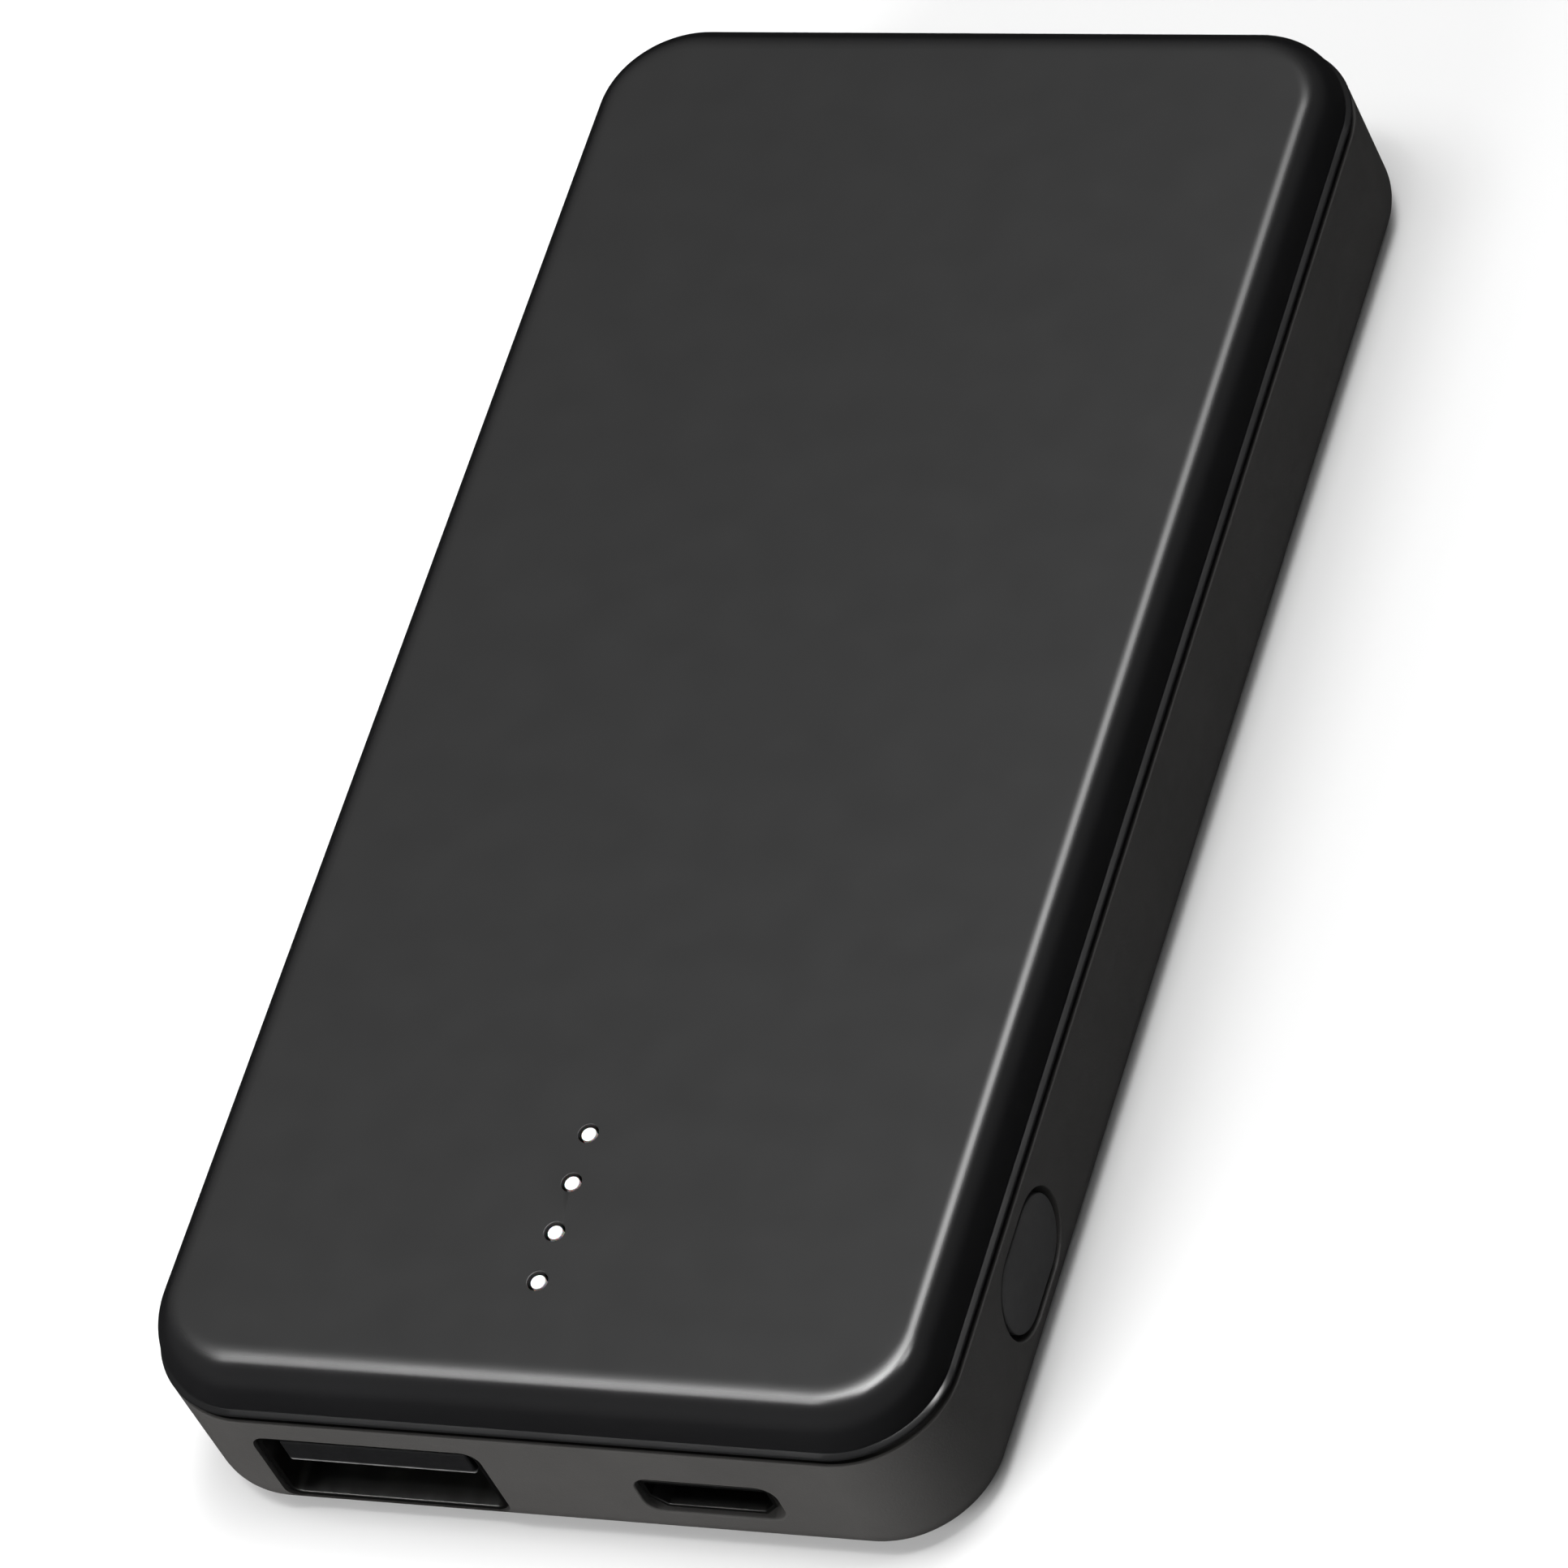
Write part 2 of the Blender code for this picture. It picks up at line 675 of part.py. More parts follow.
def build_board(materials):
    left_bevel = -board_left - corner_centre_x
    right_bevel = board_right - corner_centre_x
    outline = [
        (board_right, board_back),
        (board_left, board_back),
        (board_left, board_front + left_bevel),
        (board_left + left_bevel, board_front),
        (board_right - right_bevel, board_front),
        (board_right, board_front + right_bevel),
    ]
    shape = extrude_outline(outline, board_thickness, "Z")
    place = (0.0, 0.0, board_low + board_thickness / 2)
    board = mesh_object("circuit_board", shape, materials["board"], place)
    half_notch = usb_a_width / 2 + gap
    low = (usb_a_x - half_notch, board_front - gap, board_low - gap)
    high = (usb_a_x + half_notch, socket_mouth + usb_a_depth + gap, board_top + gap)
    cut(board, add_block("socket_notch_tool", low, high))
    for index, spot in enumerate(screw_spots(), 1):
        radius = screw_radius + snug
        cut(board, add_cylinder(f"screw_hole_tool_{index}", radius, board_low - gap, board_top + gap, spot))


def build_screws(material):
    shank_low = board_low - screw_depth
    head_top = part_seat + screw_head_height
    for index, spot in enumerate(screw_spots(), 1):
        shank_high = part_seat + snug
        screw = add_cylinder(f"board_screw_{index}", screw_radius, shank_low, shank_high, spot, material)
        fuse(screw, add_cylinder(f"head_tool_{index}", screw_head_radius, part_seat, head_top, spot))
        arms = ((screw_drive_reach, screw_drive_width / 2), (screw_drive_width / 2, screw_drive_reach))
        for number, (reach_x, reach_y) in enumerate(arms, 1):
            low = (spot[0] - reach_x, spot[1] - reach_y, head_top - screw_drive_depth)
            high = (spot[0] + reach_x, spot[1] + reach_y, head_top + screw_drive_depth)
            cut(screw, add_block(f"drive_tool_{index}_{number}", low, high))


def build_board_parts(materials):
    """Chips and passives: name, centre x, distance behind the front face, width, length, height, finish."""
    table = (
        ("charge_ic", 3.5, 11.0, 4.0, 4.0, 0.9, "chip"),
        ("boost_ic", -11.0, 18.7, 5.0, 3.9, 1.4, "chip"),
        ("capacitor_1", 3.5, 15.0, 3.2, 1.6, 1.3, "ceramic"),
        ("capacitor_2", 3.5, 17.4, 3.2, 1.6, 1.3, "ceramic"),
        ("capacitor_3", 12.2, 18.3, 3.2, 1.6, 1.3, "ceramic"),
        ("resistor_1", -19.2, 8.0, 1.3, 2.0, 0.5, "chip"),
        ("resistor_2", -19.2, 12.0, 1.3, 2.0, 0.5, "chip"),
    )
    for name, x, back, width, length, height, finish in table:
        centre = Vector((x * mm, front + back * mm, part_seat + height * mm / 2))
        half = Vector((width * mm / 2, length * mm / 2, height * mm / 2))
        add_block(name, centre - half, centre + half, materials[finish], edge=0.08 * mm, edge_segments=1)

    place = (coil_x, front + coil_back)
    top = part_seat + coil_height
    coil = add_cylinder("power_inductor", coil_radius, part_seat, top, place, materials["ferrite"], 32)
    edge = coil.modifiers.new("edge", "BEVEL")
    edge.width = coil_edge
    edge.segments = 2


def build_button(materials):
    """The button and the switch plunger that it pushes, both on the press axis."""
    axis = bpy.data.objects.new("button_axis", None)
    axis.location = (case_width / 2, button_y, button_z)
    bpy.context.scene.collection.objects.link(axis)

    outer_face = -button_below_face
    shoulder = outer_face - button_crown
    flange_face = -wall - gap
    flange_back = flange_face - button_flange_thickness
    full = button_outline(0.0)
    top = button_outline(-2 * button_crown)
    cap_rings = [
        [(flange_face - button_flange_thickness / 2, u, v) for u, v in full],
        [(shoulder, u, v) for u, v in full],
        [(shoulder + 0.7 * button_crown, u, v) for u, v in button_outline(-0.6 * button_crown)],
        [(outer_face, u, v) for u, v in top],
    ]
    button = mesh_object("power_button", loft(cap_rings), materials["button"], smooth_angle=50.0)
    button.parent = axis
    half_length = button_length / 2 + button_flange
    half_height = button_height / 2 + button_flange
    low = Vector((flange_back, -half_length, -half_height))
    high = Vector((flange_face, half_length, half_height))
    flange = add_block("flange_tool", low, high)
    stem_end = flange_back - gap
    low = Vector((stem_end, -button_stem_length / 2, -button_stem_height / 2))
    stem_inner = flange_face - button_flange_thickness / 2
    high = Vector((stem_inner, button_stem_length / 2, button_stem_height / 2))
    stem = add_block("stem_tool", low, high)
    for tool in (flange, stem):
        tool.parent = axis
        fuse(button, tool)

    tip = stem_end - snug
    root = tip - plunger_reach - plunger_seat
    low = Vector((root, -plunger_length / 2, -plunger_height / 2))
    high = Vector((tip, plunger_length / 2, plunger_height / 2))
    plunger = add_block("switch_plunger", low, high, materials["insulator"], edge=0.1 * mm, edge_segments=1)
    plunger.parent = axis

    face = case_width / 2 + tip - plunger_reach
    low = (face - switch_depth, button_y - switch_length / 2, part_seat)
    high = (face, button_y + switch_length / 2, part_seat + switch_height)
    switch = add_block("switch_body", low, high, materials["chip"], edge=0.15 * mm, edge_segments=1)
    well = plunger_seat + button_travel + gap
    half_length = plunger_length / 2 + plunger_gap
    half_height = plunger_height / 2 + plunger_gap
    low = (face - well, button_y - half_length, button_z - half_height)
    high = (face + gap, button_y + half_length, button_z + half_height)
    cut(switch, add_block("plunger_well_tool", low, high))


def build_cell(materials):
    outline = rounded_outline(cell_width, cell_length, cell_corner, 6)
    top_width = cell_width - 2 * cell_edge
    top_length = cell_length - 2 * cell_edge
    drawn_in = rounded_outline(top_width, top_length, cell_corner - cell_edge, 6)
    half = cell_height / 2
    levels = (
        (drawn_in, -half),
        (outline, -half + cell_edge),
        (outline, half - cell_edge),
        (drawn_in, half),
    )
    rings = [[(u, v, z) for u, v in points] for points, z in levels]
    place = (0.0, (cell_front + cell_rear) / 2, cell_low + half)
    cell = mesh_object("battery_cell", loft(rings), materials["pouch"], place)
    half_ledge = cell_width / 2 - ledge_side_step
    low = (-half_ledge, cell_front - ledge_depth, ledge_z - ledge_height / 2)
    high = (half_ledge, cell_front + cell_edge, ledge_z + ledge_height / 2)
    fuse(cell, add_block("ledge_tool", low, high))

    tape_y = place[1]
    low = (-tape_width / 2, tape_y - tape_length / 2, tape_low)
    high = (tape_width / 2, tape_y + tape_length / 2, tape_low + tape_thickness)
    add_block("cell_tape", low, high, materials["tape"])
    low = (-foam_width / 2, tape_y - foam_length / 2, foam_low)
    high = (foam_width / 2, tape_y + foam_length / 2, foam_low + foam_thickness)
    add_block("foam_pad", low, high, materials["foam"])

    guard_back = cell_front - snug
    guard_front = guard_back - guard_board_depth
    low = (-guard_board_width / 2, guard_front, guard_low)
    high = (guard_board_width / 2, guard_back, guard_top)
    add_block("guard_board", low, high, materials["board"])

    tab_front = min(guard_front, cell_front - ledge_depth) - gap - tab_thickness / 2
    tab_path = [
        (cell_front - ledge_depth - snug, ledge_z),
        (tab_front, ledge_z),
        (tab_front, guard_top + snug + tab_thickness / 2),
        (guard_front + guard_board_depth / 2, guard_top + snug + tab_thickness / 2),
    ]
    for name, side in (("cell_tab_positive", 1), ("cell_tab_negative", -1)):
        strip = bent_strip(tab_path, tab_thickness, tab_width)
        mesh_object(name, strip, materials["nickel"], (side * tab_x, 0.0, 0.0))

    lead_high = guard_top + snug + lead_radius
    lead_low = part_seat + lead_radius
    landing = board_back - lead_landing
    for name, side, finish in (("positive_lead", 1, "red"), ("negative_lead", -1, "black")):
        start = Vector((side * lead_x, guard_back - lead_radius, lead_high))
        end = Vector((side * lead_x, landing, lead_low))
        pull = Vector((0.0, -lead_pull, 0.0))
        rise = Vector((0.0, lead_lean, lead_rise))
        points = geometry.interpolate_bezier(start, start + pull, end + rise, end, lead_points)
        curve = bpy.data.curves.new(name, "CURVE")
        curve.dimensions = "3D"
        curve.bevel_depth = lead_radius
        curve.bevel_resolution = 2
        curve.use_fill_caps = True
        spline = curve.splines.new("POLY")
        spline.points.add(len(points) - 1)
        for slot, point in zip(spline.points, points):
            slot.co = (*point, 1.0)
        add_object(name, curve, materials[finish])


def build():
    empty_scene()
    materials = build_materials()
    build_bottom_case(materials["case"])
    build_top_cover(materials["cover"])
    build_button(materials)
    build_lights(materials)
    build_usb_a(materials)
    build_micro_usb(materials)
    build_board(materials)
    build_screws(materials["screw"])
    build_board_parts(materials)
    build_cell(materials)


build()
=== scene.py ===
import math

import bmesh
import bpy
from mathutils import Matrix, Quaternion, Vector


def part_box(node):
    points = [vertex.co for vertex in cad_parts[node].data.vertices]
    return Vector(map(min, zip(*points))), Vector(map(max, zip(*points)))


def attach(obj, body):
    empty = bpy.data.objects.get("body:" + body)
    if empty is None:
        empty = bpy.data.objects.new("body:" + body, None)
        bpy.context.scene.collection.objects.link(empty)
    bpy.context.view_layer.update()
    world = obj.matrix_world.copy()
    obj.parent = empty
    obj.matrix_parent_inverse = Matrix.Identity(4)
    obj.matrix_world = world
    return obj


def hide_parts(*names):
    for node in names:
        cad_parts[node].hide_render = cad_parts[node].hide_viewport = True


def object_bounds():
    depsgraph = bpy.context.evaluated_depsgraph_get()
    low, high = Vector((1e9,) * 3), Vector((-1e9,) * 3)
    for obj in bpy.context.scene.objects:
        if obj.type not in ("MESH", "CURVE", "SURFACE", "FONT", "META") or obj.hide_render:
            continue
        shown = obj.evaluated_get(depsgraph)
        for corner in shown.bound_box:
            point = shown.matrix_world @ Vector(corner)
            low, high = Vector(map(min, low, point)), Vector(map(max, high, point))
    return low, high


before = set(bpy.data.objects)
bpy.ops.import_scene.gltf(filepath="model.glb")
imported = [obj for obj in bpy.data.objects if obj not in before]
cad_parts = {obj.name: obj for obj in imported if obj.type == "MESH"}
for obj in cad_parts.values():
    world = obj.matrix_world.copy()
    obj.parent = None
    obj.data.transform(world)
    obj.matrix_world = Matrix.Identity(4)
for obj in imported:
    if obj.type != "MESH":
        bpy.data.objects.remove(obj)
cadLow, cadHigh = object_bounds()
mm = 0.001

# Heights and faces that several pieces share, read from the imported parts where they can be
lipHeight = 1.5 * mm  # from the lower case's rim up to the top of its inner lip
grooveHeight = 0.4 * mm
frontY = cadLow.y
sideX = cadHigh.x
topZ = cadHigh.z
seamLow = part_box("bottom_case")[1].z - lipHeight  # upper edge of the lower case
seamHigh = seamLow + grooveHeight  # lower edge of the cover
gap = 0.3 * mm  # between pieces that only just clear each other
over = 1.0 * mm  # how far a cutter or a joined block runs past a surface
slack = 0.05 * mm  # how far outside an opening's size its rim may still be found
roundSides = 40
softSteps = 3  # segments in a small edge rounding


# Small helpers for working by hand on one mesh
def letGo():
    if bpy.context.mode != "OBJECT":
        bpy.ops.object.mode_set(mode="OBJECT")
    bpy.ops.object.select_all(action="DESELECT")


def take(piece):
    letGo()
    piece.select_set(True)
    bpy.context.view_layer.objects.active = piece


def settle(name):
    piece = bpy.context.object
    piece.name = name
    piece.data.name = name
    bpy.ops.object.transform_apply(location=True, rotation=True, scale=True)
    return piece


def addBlock(name, low, high):
    letGo()
    low, high = Vector(low), Vector(high)
    bpy.ops.mesh.primitive_cube_add(size=1, location=(low + high) / 2, scale=high - low)
    return settle(name)


def addRod(name, radius, low, high, sides=roundSides):  # upright rod from point low to point high
    letGo()
    low, high = Vector(low), Vector(high)
    bpy.ops.mesh.primitive_cylinder_add(
        vertices=sides, radius=radius, depth=high.z - low.z, location=(low + high) / 2)
    return settle(name)


def copyPiece(piece, name, step):  # a second one with its own mesh, moved by step
    take(piece)
    bpy.ops.object.duplicate(linked=False)
    bpy.ops.transform.translate(value=Vector(step))
    return settle(name)


# Leaves the piece in edit mode with the faces or edges that pass the test selected
def pick(piece, kind, test):
    take(piece)
    bpy.ops.object.mode_set(mode="EDIT")
    bpy.ops.mesh.select_mode(type=kind)
    bpy.ops.mesh.select_all(action="DESELECT")
    mesh = bmesh.from_edit_mesh(piece.data)
    mesh.normal_update()
    for item in (mesh.faces if kind == "FACE" else mesh.edges):
        if test(item):
            item.select_set(True)
    mesh.select_flush_mode()
    bmesh.update_edit_mesh(piece.data)


def near(a, b, within=0.002 * mm):
    return abs(a - b) < within


def along(edge, axis):  # does the edge run along this axis
    run = edge.verts[1].co - edge.verts[0].co
    return abs(run[axis]) > 0.999 * run.length


def flatOn(edge, axis, value):  # does the edge lie in the plane axis = value
    return all(near(v.co[axis], value) for v in edge.verts)


def faceAt(axis, value):
    return lambda face: near(face.calc_center_median()[axis], value) and abs(face.normal[axis]) > 0.99


def rimOf(axis, value):  # the border edges of the flat face at axis = value
    def test(edge):
        if not flatOn(edge, axis, value):
            return False
        return sum(abs(f.normal[axis]) > 0.99 for f in edge.link_faces) == 1
    return test


def roundOff(width, steps, profile=0.5):
    bpy.ops.mesh.bevel(offset=width, segments=steps, profile=profile, affect="EDGES", clamp_overlap=True)


def drawIn(inset, depth=0.0):
    bpy.ops.mesh.inset(thickness=inset, depth=depth, use_even_offset=True, use_boundary=True)


def pullOut(step):
    bpy.ops.mesh.extrude_region_move(TRANSFORM_OT_translate={"value": Vector(step)})


def boolean(piece, tool, operation="DIFFERENCE"):
    take(piece)
    step = piece.modifiers.new("join or cut", "BOOLEAN")
    step.operation = operation
    step.object = tool
    step.solver = "EXACT"
    bpy.ops.object.modifier_apply(modifier=step.name)
    bpy.data.objects.remove(tool)


def finishPiece(piece, body, nodes, angle=40.0):
    take(piece)
    bpy.ops.object.shade_smooth_by_angle(angle=math.radians(angle))
    even = piece.modifiers.new("flat faces stay flat", "WEIGHTED_NORMAL")
    even.keep_sharp = True
    bpy.ops.object.modifier_apply(modifier=even.name)
    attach(piece, body)
    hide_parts(*nodes)
    return piece


cover = {
    "cornerRadius": 6.0 * mm,
    "cornerSteps": 28,
    "beadWall": 0.2 * mm,  # small bead that runs round above the groove: its wall, and its sloping top
    "beadReach": 0.3 * mm,
    "beadSlope": 0.142 * mm,
    "beadRound": 0.07 * mm,
    "skirtDrop": 0.2 * mm,
    "grooveRound": 0.12 * mm,
    "edgeDrop": 2.3 * mm,
    "edgeSide": 2.1 * mm,
    "edgeEnd": 2.8 * mm,
    "edgeSteps": 18,
    "flatBand": 0.4 * mm,
    "skirt": 0.7 * mm,
    "roof": 1.2 * mm,
    "roofFillet": 0.2 * mm,
    "boreRadius": 0.58 * mm,
    "boreRound": 0.06 * mm,
    "boreRim": (0.9, 1.05),  # shares of the radius between which an edge counts as the bore's rim
    "armWidth": 6.0 * mm,
    "armThick": 0.8 * mm,
    "armReach": 4.5 * mm,
    "noseReach": 0.5 * mm,
    "noseHeight": 0.9 * mm,
    "armRows": (-12.0 * mm, 12.0 * mm, 34.0 * mm),
    "wall": 1.6 * mm,
}
lightRows = (7.75 * mm, 10.8 * mm, 13.85 * mm, 16.9 * mm)  # distances behind the front end
lightX = sum(c.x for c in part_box("light_guide")) / 2


def makeCover(v):
    skirtZ = seamHigh - v["skirtDrop"]
    beadTop = skirtZ + v["beadWall"]
    piece = addBlock("coverShell", (-sideX, frontY, skirtZ), (sideX, -frontY, beadTop))
    pick(piece, "EDGE", lambda e: along(e, 2))
    roundOff(v["cornerRadius"], v["cornerSteps"])
    pick(piece, "FACE", faceAt(2, beadTop))
    drawIn(v["beadReach"], v["beadSlope"])
    pick(piece, "EDGE", lambda e: flatOn(e, 2, beadTop))
    roundOff(v["beadRound"], softSteps)
    beadTop += v["beadSlope"]
    pick(piece, "EDGE", rimOf(2, skirtZ))
    roundOff(v["grooveRound"], softSteps)

    # the band stands back from the bead, then rolls over into the flat top
    pick(piece, "FACE", faceAt(2, beadTop))
    wallStart = topZ - v["edgeDrop"]
    pullOut((0, 0, wallStart - beadTop))
    sideDraw = v["edgeSide"] - v["beadReach"]
    endExtra = v["edgeEnd"] - v["edgeSide"]
    halfLength = -frontY - v["beadReach"]
    before, height = 0.0, 0.0
    for step in range(1, v["edgeSteps"] + 1):
        angle = math.pi / 2 * step / v["edgeSteps"]
        share = 1 - math.cos(angle)
        rise = v["edgeDrop"] * math.sin(angle)
        drawIn(sideDraw * (share - before), rise - height)
        halfLength -= sideDraw * (share - before)
        shorter = halfLength - endExtra * (share - before)
        bpy.ops.transform.resize(value=(1, shorter / halfLength, 1), center_override=(0, 0, topZ))
        halfLength, before, height = shorter, share, rise
    drawIn(v["flatBand"])

    # underside: skirt and roof
    roofZ = topZ - v["roof"]
    pick(piece, "FACE", faceAt(2, skirtZ))
    drawIn(v["skirt"] - v["grooveRound"])
    pullOut((0, 0, roofZ - v["roofFillet"] - skirtZ))
    drawIn(v["edgeEnd"] - v["skirt"], -v["roofFillet"])

    # snap tabs on the long sides
    armX = sideX - v["wall"] - gap
    armLow = roofZ - v["armReach"]
    armTop = roofZ + v["roof"] / 2
    noseTop = armLow + v["noseHeight"]
    half = v["armWidth"] / 2
    for side in (-1, 1):
        nearX, farX = sorted((side * (armX - v["armThick"]), side * armX))
        for row in v["armRows"]:
            arm = addBlock("snapArm", (nearX, row - half, armLow), (farX, row + half, armTop))
            pick(arm, "FACE", lambda f: f.normal.x * side > 0.99)
            bpy.ops.mesh.bisect(plane_co=(0, 0, noseTop), plane_no=(0, 0, 1))
            pick(arm, "FACE", lambda f: f.normal.x * side > 0.99 and f.calc_center_median().z < noseTop)
            pullOut((side * v["noseReach"], 0, 0))
            boolean(piece, arm, "UNION")

    # bores for the four lights
    for y in lightRows:
        low = (lightX, frontY + y, roofZ - over)
        high = (lightX, frontY + y, topZ + over)
        boolean(piece, addRod("bore", v["boreRadius"], low, high))
    for y in lightRows:
        def onRim(edge, y=y):
            middle = (edge.verts[0].co + edge.verts[1].co) / 2
            reach = math.hypot(middle.x - lightX, middle.y - frontY - y)
            return flatOn(edge, 2, topZ) and v["boreRim"][0] < reach / v["boreRadius"] < v["boreRim"][1]
        pick(piece, "EDGE", onRim)
        roundOff(v["boreRound"], softSteps)
    return finishPiece(piece, "case", ["top_cover"])


coverShell = makeCover(cover)
print("cover made", len(coverShell.data.polygons))


lower = {
    "cornerRadius": 6.0 * mm,
    "cornerSteps": 28,
    "footRadius": 2.0 * mm,
    "footSteps": 12,
    "rimRound": 0.08 * mm,
    "rimThick": 0.2 * mm,
    "rimDrop": 0.32 * mm,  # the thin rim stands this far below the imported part's rim
    "grooveDepth": 0.5 * mm,
    "wall": 1.6 * mm,
    "shoulder": 1.0 * mm,
    "floor": 1.1 * mm,
    "usbGrow": 0.15 * mm,
    "usbCorner": 0.95 * mm,
    "usbSteps": 6,
    "microGrow": 0.3 * mm,
    "microCorner": 1.0 * mm,
    "microSteps": 8,
    "buttonGap": 0.35 * mm,
    "openingRound": 0.12 * mm,
    "buttonEdge": 0.06 * mm,
    "postRadius": 1.9 * mm,
    "postGap": 0.12 * mm,
    "pilotRadius": 0.72 * mm,
    "pilotSides": 24,
}
usbLow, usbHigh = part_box("usb_a_shield")
microLow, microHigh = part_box("micro_usb_shell")
buttonLow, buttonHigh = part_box("power_button")
usbMid = (usbLow + usbHigh) / 2
microMid = (microLow + microHigh) / 2
buttonMid = (buttonLow + buttonHigh) / 2
buttonFace = {"length": 7.8 * mm, "height": 5.0 * mm, "endFlat": 0.05 * mm, "endSteps": 20}


# A rounded block that passes through a wall along axis
def pillTool(middle, size, radius, axis, depth, steps):
    half = Vector(size) / 2
    half[axis] = depth / 2
    tool = addBlock("openingTool", middle - half, middle + half)
    pick(tool, "EDGE", lambda e: along(e, axis))
    roundOff(radius, steps)
    return tool


def softenOpening(piece, axis, value, middle, size, width):
    others = [i for i in range(3) if i != axis]

    def onRim(edge):
        if not flatOn(edge, axis, value):
            return False
        if sum(abs(f.normal[axis]) > 0.99 for f in edge.link_faces) != 1:
            return False
        spot = (edge.verts[0].co + edge.verts[1].co) / 2
        return all(abs(spot[i] - middle[i]) < size[i] / 2 + slack for i in others)
    pick(piece, "EDGE", onRim)
    roundOff(width, softSteps)


def openingSize(low, high, grow):  # a socket's width and height, grown all round
    return (high.x - low.x + 2 * grow, 0, high.z - low.z + 2 * grow)


def makeLower(v):
    rimZ = seamLow - v["rimDrop"]
    piece = addBlock("lowerCase", (-sideX, frontY, 0), (sideX, -frontY, rimZ))
    pick(piece, "EDGE", lambda e: along(e, 2))
    roundOff(v["cornerRadius"], v["cornerSteps"])
    pick(piece, "EDGE", rimOf(2, 0))
    roundOff(v["footRadius"], v["footSteps"])
    pick(piece, "EDGE", rimOf(2, rimZ))
    roundOff(v["rimRound"], softSteps)
    pick(piece, "FACE", faceAt(2, rimZ))
    drawIn(v["rimThick"] - v["rimRound"])
    pullOut((0, 0, -v["grooveDepth"]))
    drawIn(v["shoulder"] - v["rimThick"])
    pullOut((0, 0, v["grooveDepth"] + v["rimDrop"] + lipHeight))
    drawIn(v["wall"] - v["shoulder"])
    pullOut((0, 0, v["floor"] - seamLow - lipHeight))

    # posts under the board, with pilot holes for its screws
    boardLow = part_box("circuit_board")[0].z
    for name in ("board_screw_1", "board_screw_2"):
        low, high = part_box(name)
        x, y = ((low + high) / 2).xy
        post = addRod("post", v["postRadius"], (x, y, v["floor"] / 2), (x, y, boardLow - v["postGap"]))
        boolean(piece, post, "UNION")
        pilotLow = (x, y, low.z - gap)
        pilot = addRod("pilot", v["pilotRadius"], pilotLow, (x, y, boardLow + over), v["pilotSides"])
        boolean(piece, pilot)

    # pockets for the cover's snap tabs
    inner = sideX - v["wall"]
    half = cover["armWidth"] / 2 + gap
    pocketLow = topZ - cover["roof"] - cover["armReach"] - gap
    pocketTop = pocketLow + cover["noseHeight"] + 2 * gap
    for side in (-1, 1):
        nearX, farX = sorted((side * (inner - over), side * (inner + cover["noseReach"])))
        for row in cover["armRows"]:
            pocket = addBlock("pocket", (nearX, row - half, pocketLow), (farX, row + half, pocketTop))
            boolean(piece, pocket)

    usbSize = openingSize(usbLow, usbHigh, v["usbGrow"])
    microSize = openingSize(microLow, microHigh, v["microGrow"])
    buttonSize = (0, buttonFace["length"] + 2 * v["buttonGap"], buttonFace["height"] + 2 * v["buttonGap"])
    usbSpot = Vector((usbMid.x, frontY, usbMid.z))
    microSpot = Vector((microMid.x, frontY, microMid.z))
    buttonSpot = Vector((sideX, buttonMid.y, buttonMid.z))
    deep = 3 * v["wall"]
    endRadius = buttonSize[2] / 2 - buttonFace["endFlat"]
    boolean(piece, pillTool(usbSpot, usbSize, v["usbCorner"], 1, deep, v["usbSteps"]))
    boolean(piece, pillTool(microSpot, microSize, v["microCorner"], 1, deep, v["microSteps"]))
    boolean(piece, pillTool(buttonSpot, buttonSize, endRadius, 0, deep, buttonFace["endSteps"]))
    softenOpening(piece, 1, frontY, usbSpot, usbSize, v["openingRound"])
    softenOpening(piece, 1, frontY, microSpot, microSize, v["openingRound"])
    softenOpening(piece, 0, sideX, buttonSpot, buttonSize, v["buttonEdge"])
    return finishPiece(piece, "case", ["bottom_case"])


lowerCase = makeLower(lower)
print("lower case made", len(lowerCase.data.polygons))


button = {
    "faceRound": 0.1 * mm,
    "faceSteps": 5,
    "edgeDepth": 0.08 * mm,  # how far the rim of its face stands behind the wall
    "crown": 0.06 * mm,
    "crownSteps": 6,
    "crownShare": 0.8,  # part of the half height over which the face rises
    "flange": 0.8 * mm,
    "flangeThick": 0.6 * mm,
    "stemLength": 2.6 * mm,
    "stemHeight": 1.4 * mm,
}


def makeButton(v):
    faceX = sideX - v["edgeDepth"]
    flangeX = sideX - lower["wall"] - gap
    half = Vector((0, buttonFace["length"] / 2, buttonFace["height"] / 2))
    piece = addBlock("powerButton", (flangeX, *(buttonMid - half).yz), (faceX, *(buttonMid + half).yz))
    pick(piece, "EDGE", lambda e: along(e, 0))
    roundOff(half.z - buttonFace["endFlat"], buttonFace["endSteps"])
    pick(piece, "FACE", faceAt(0, flangeX))
    bpy.ops.mesh.inset(thickness=v["flange"], use_outset=True, use_even_offset=True)
    pick(piece, "FACE", lambda f: f.normal.x < -0.99)
    pullOut((-v["flangeThick"], 0, 0))
    pick(piece, "EDGE", rimOf(0, faceX))
    roundOff(v["faceRound"], v["faceSteps"])
    pick(piece, "FACE", faceAt(0, faceX))
    width = (half.z - v["faceRound"]) * v["crownShare"]
    height = 0.0
    for step in range(1, v["crownSteps"] + 1):
        share = step / v["crownSteps"]
        rise = v["crown"] * (1 - (1 - share) ** 2)
        drawIn(width / v["crownSteps"], rise - height)
        height = rise
    half = Vector((0, v["stemLength"] / 2, v["stemHeight"] / 2))
    stemEnd = (buttonLow.x, *(buttonMid - half).yz)
    stem = addBlock("stem", stemEnd, (flangeX - gap, *(buttonMid + half).yz))
    boolean(piece, stem, "UNION")
    return finishPiece(piece, "button", ["power_button"])


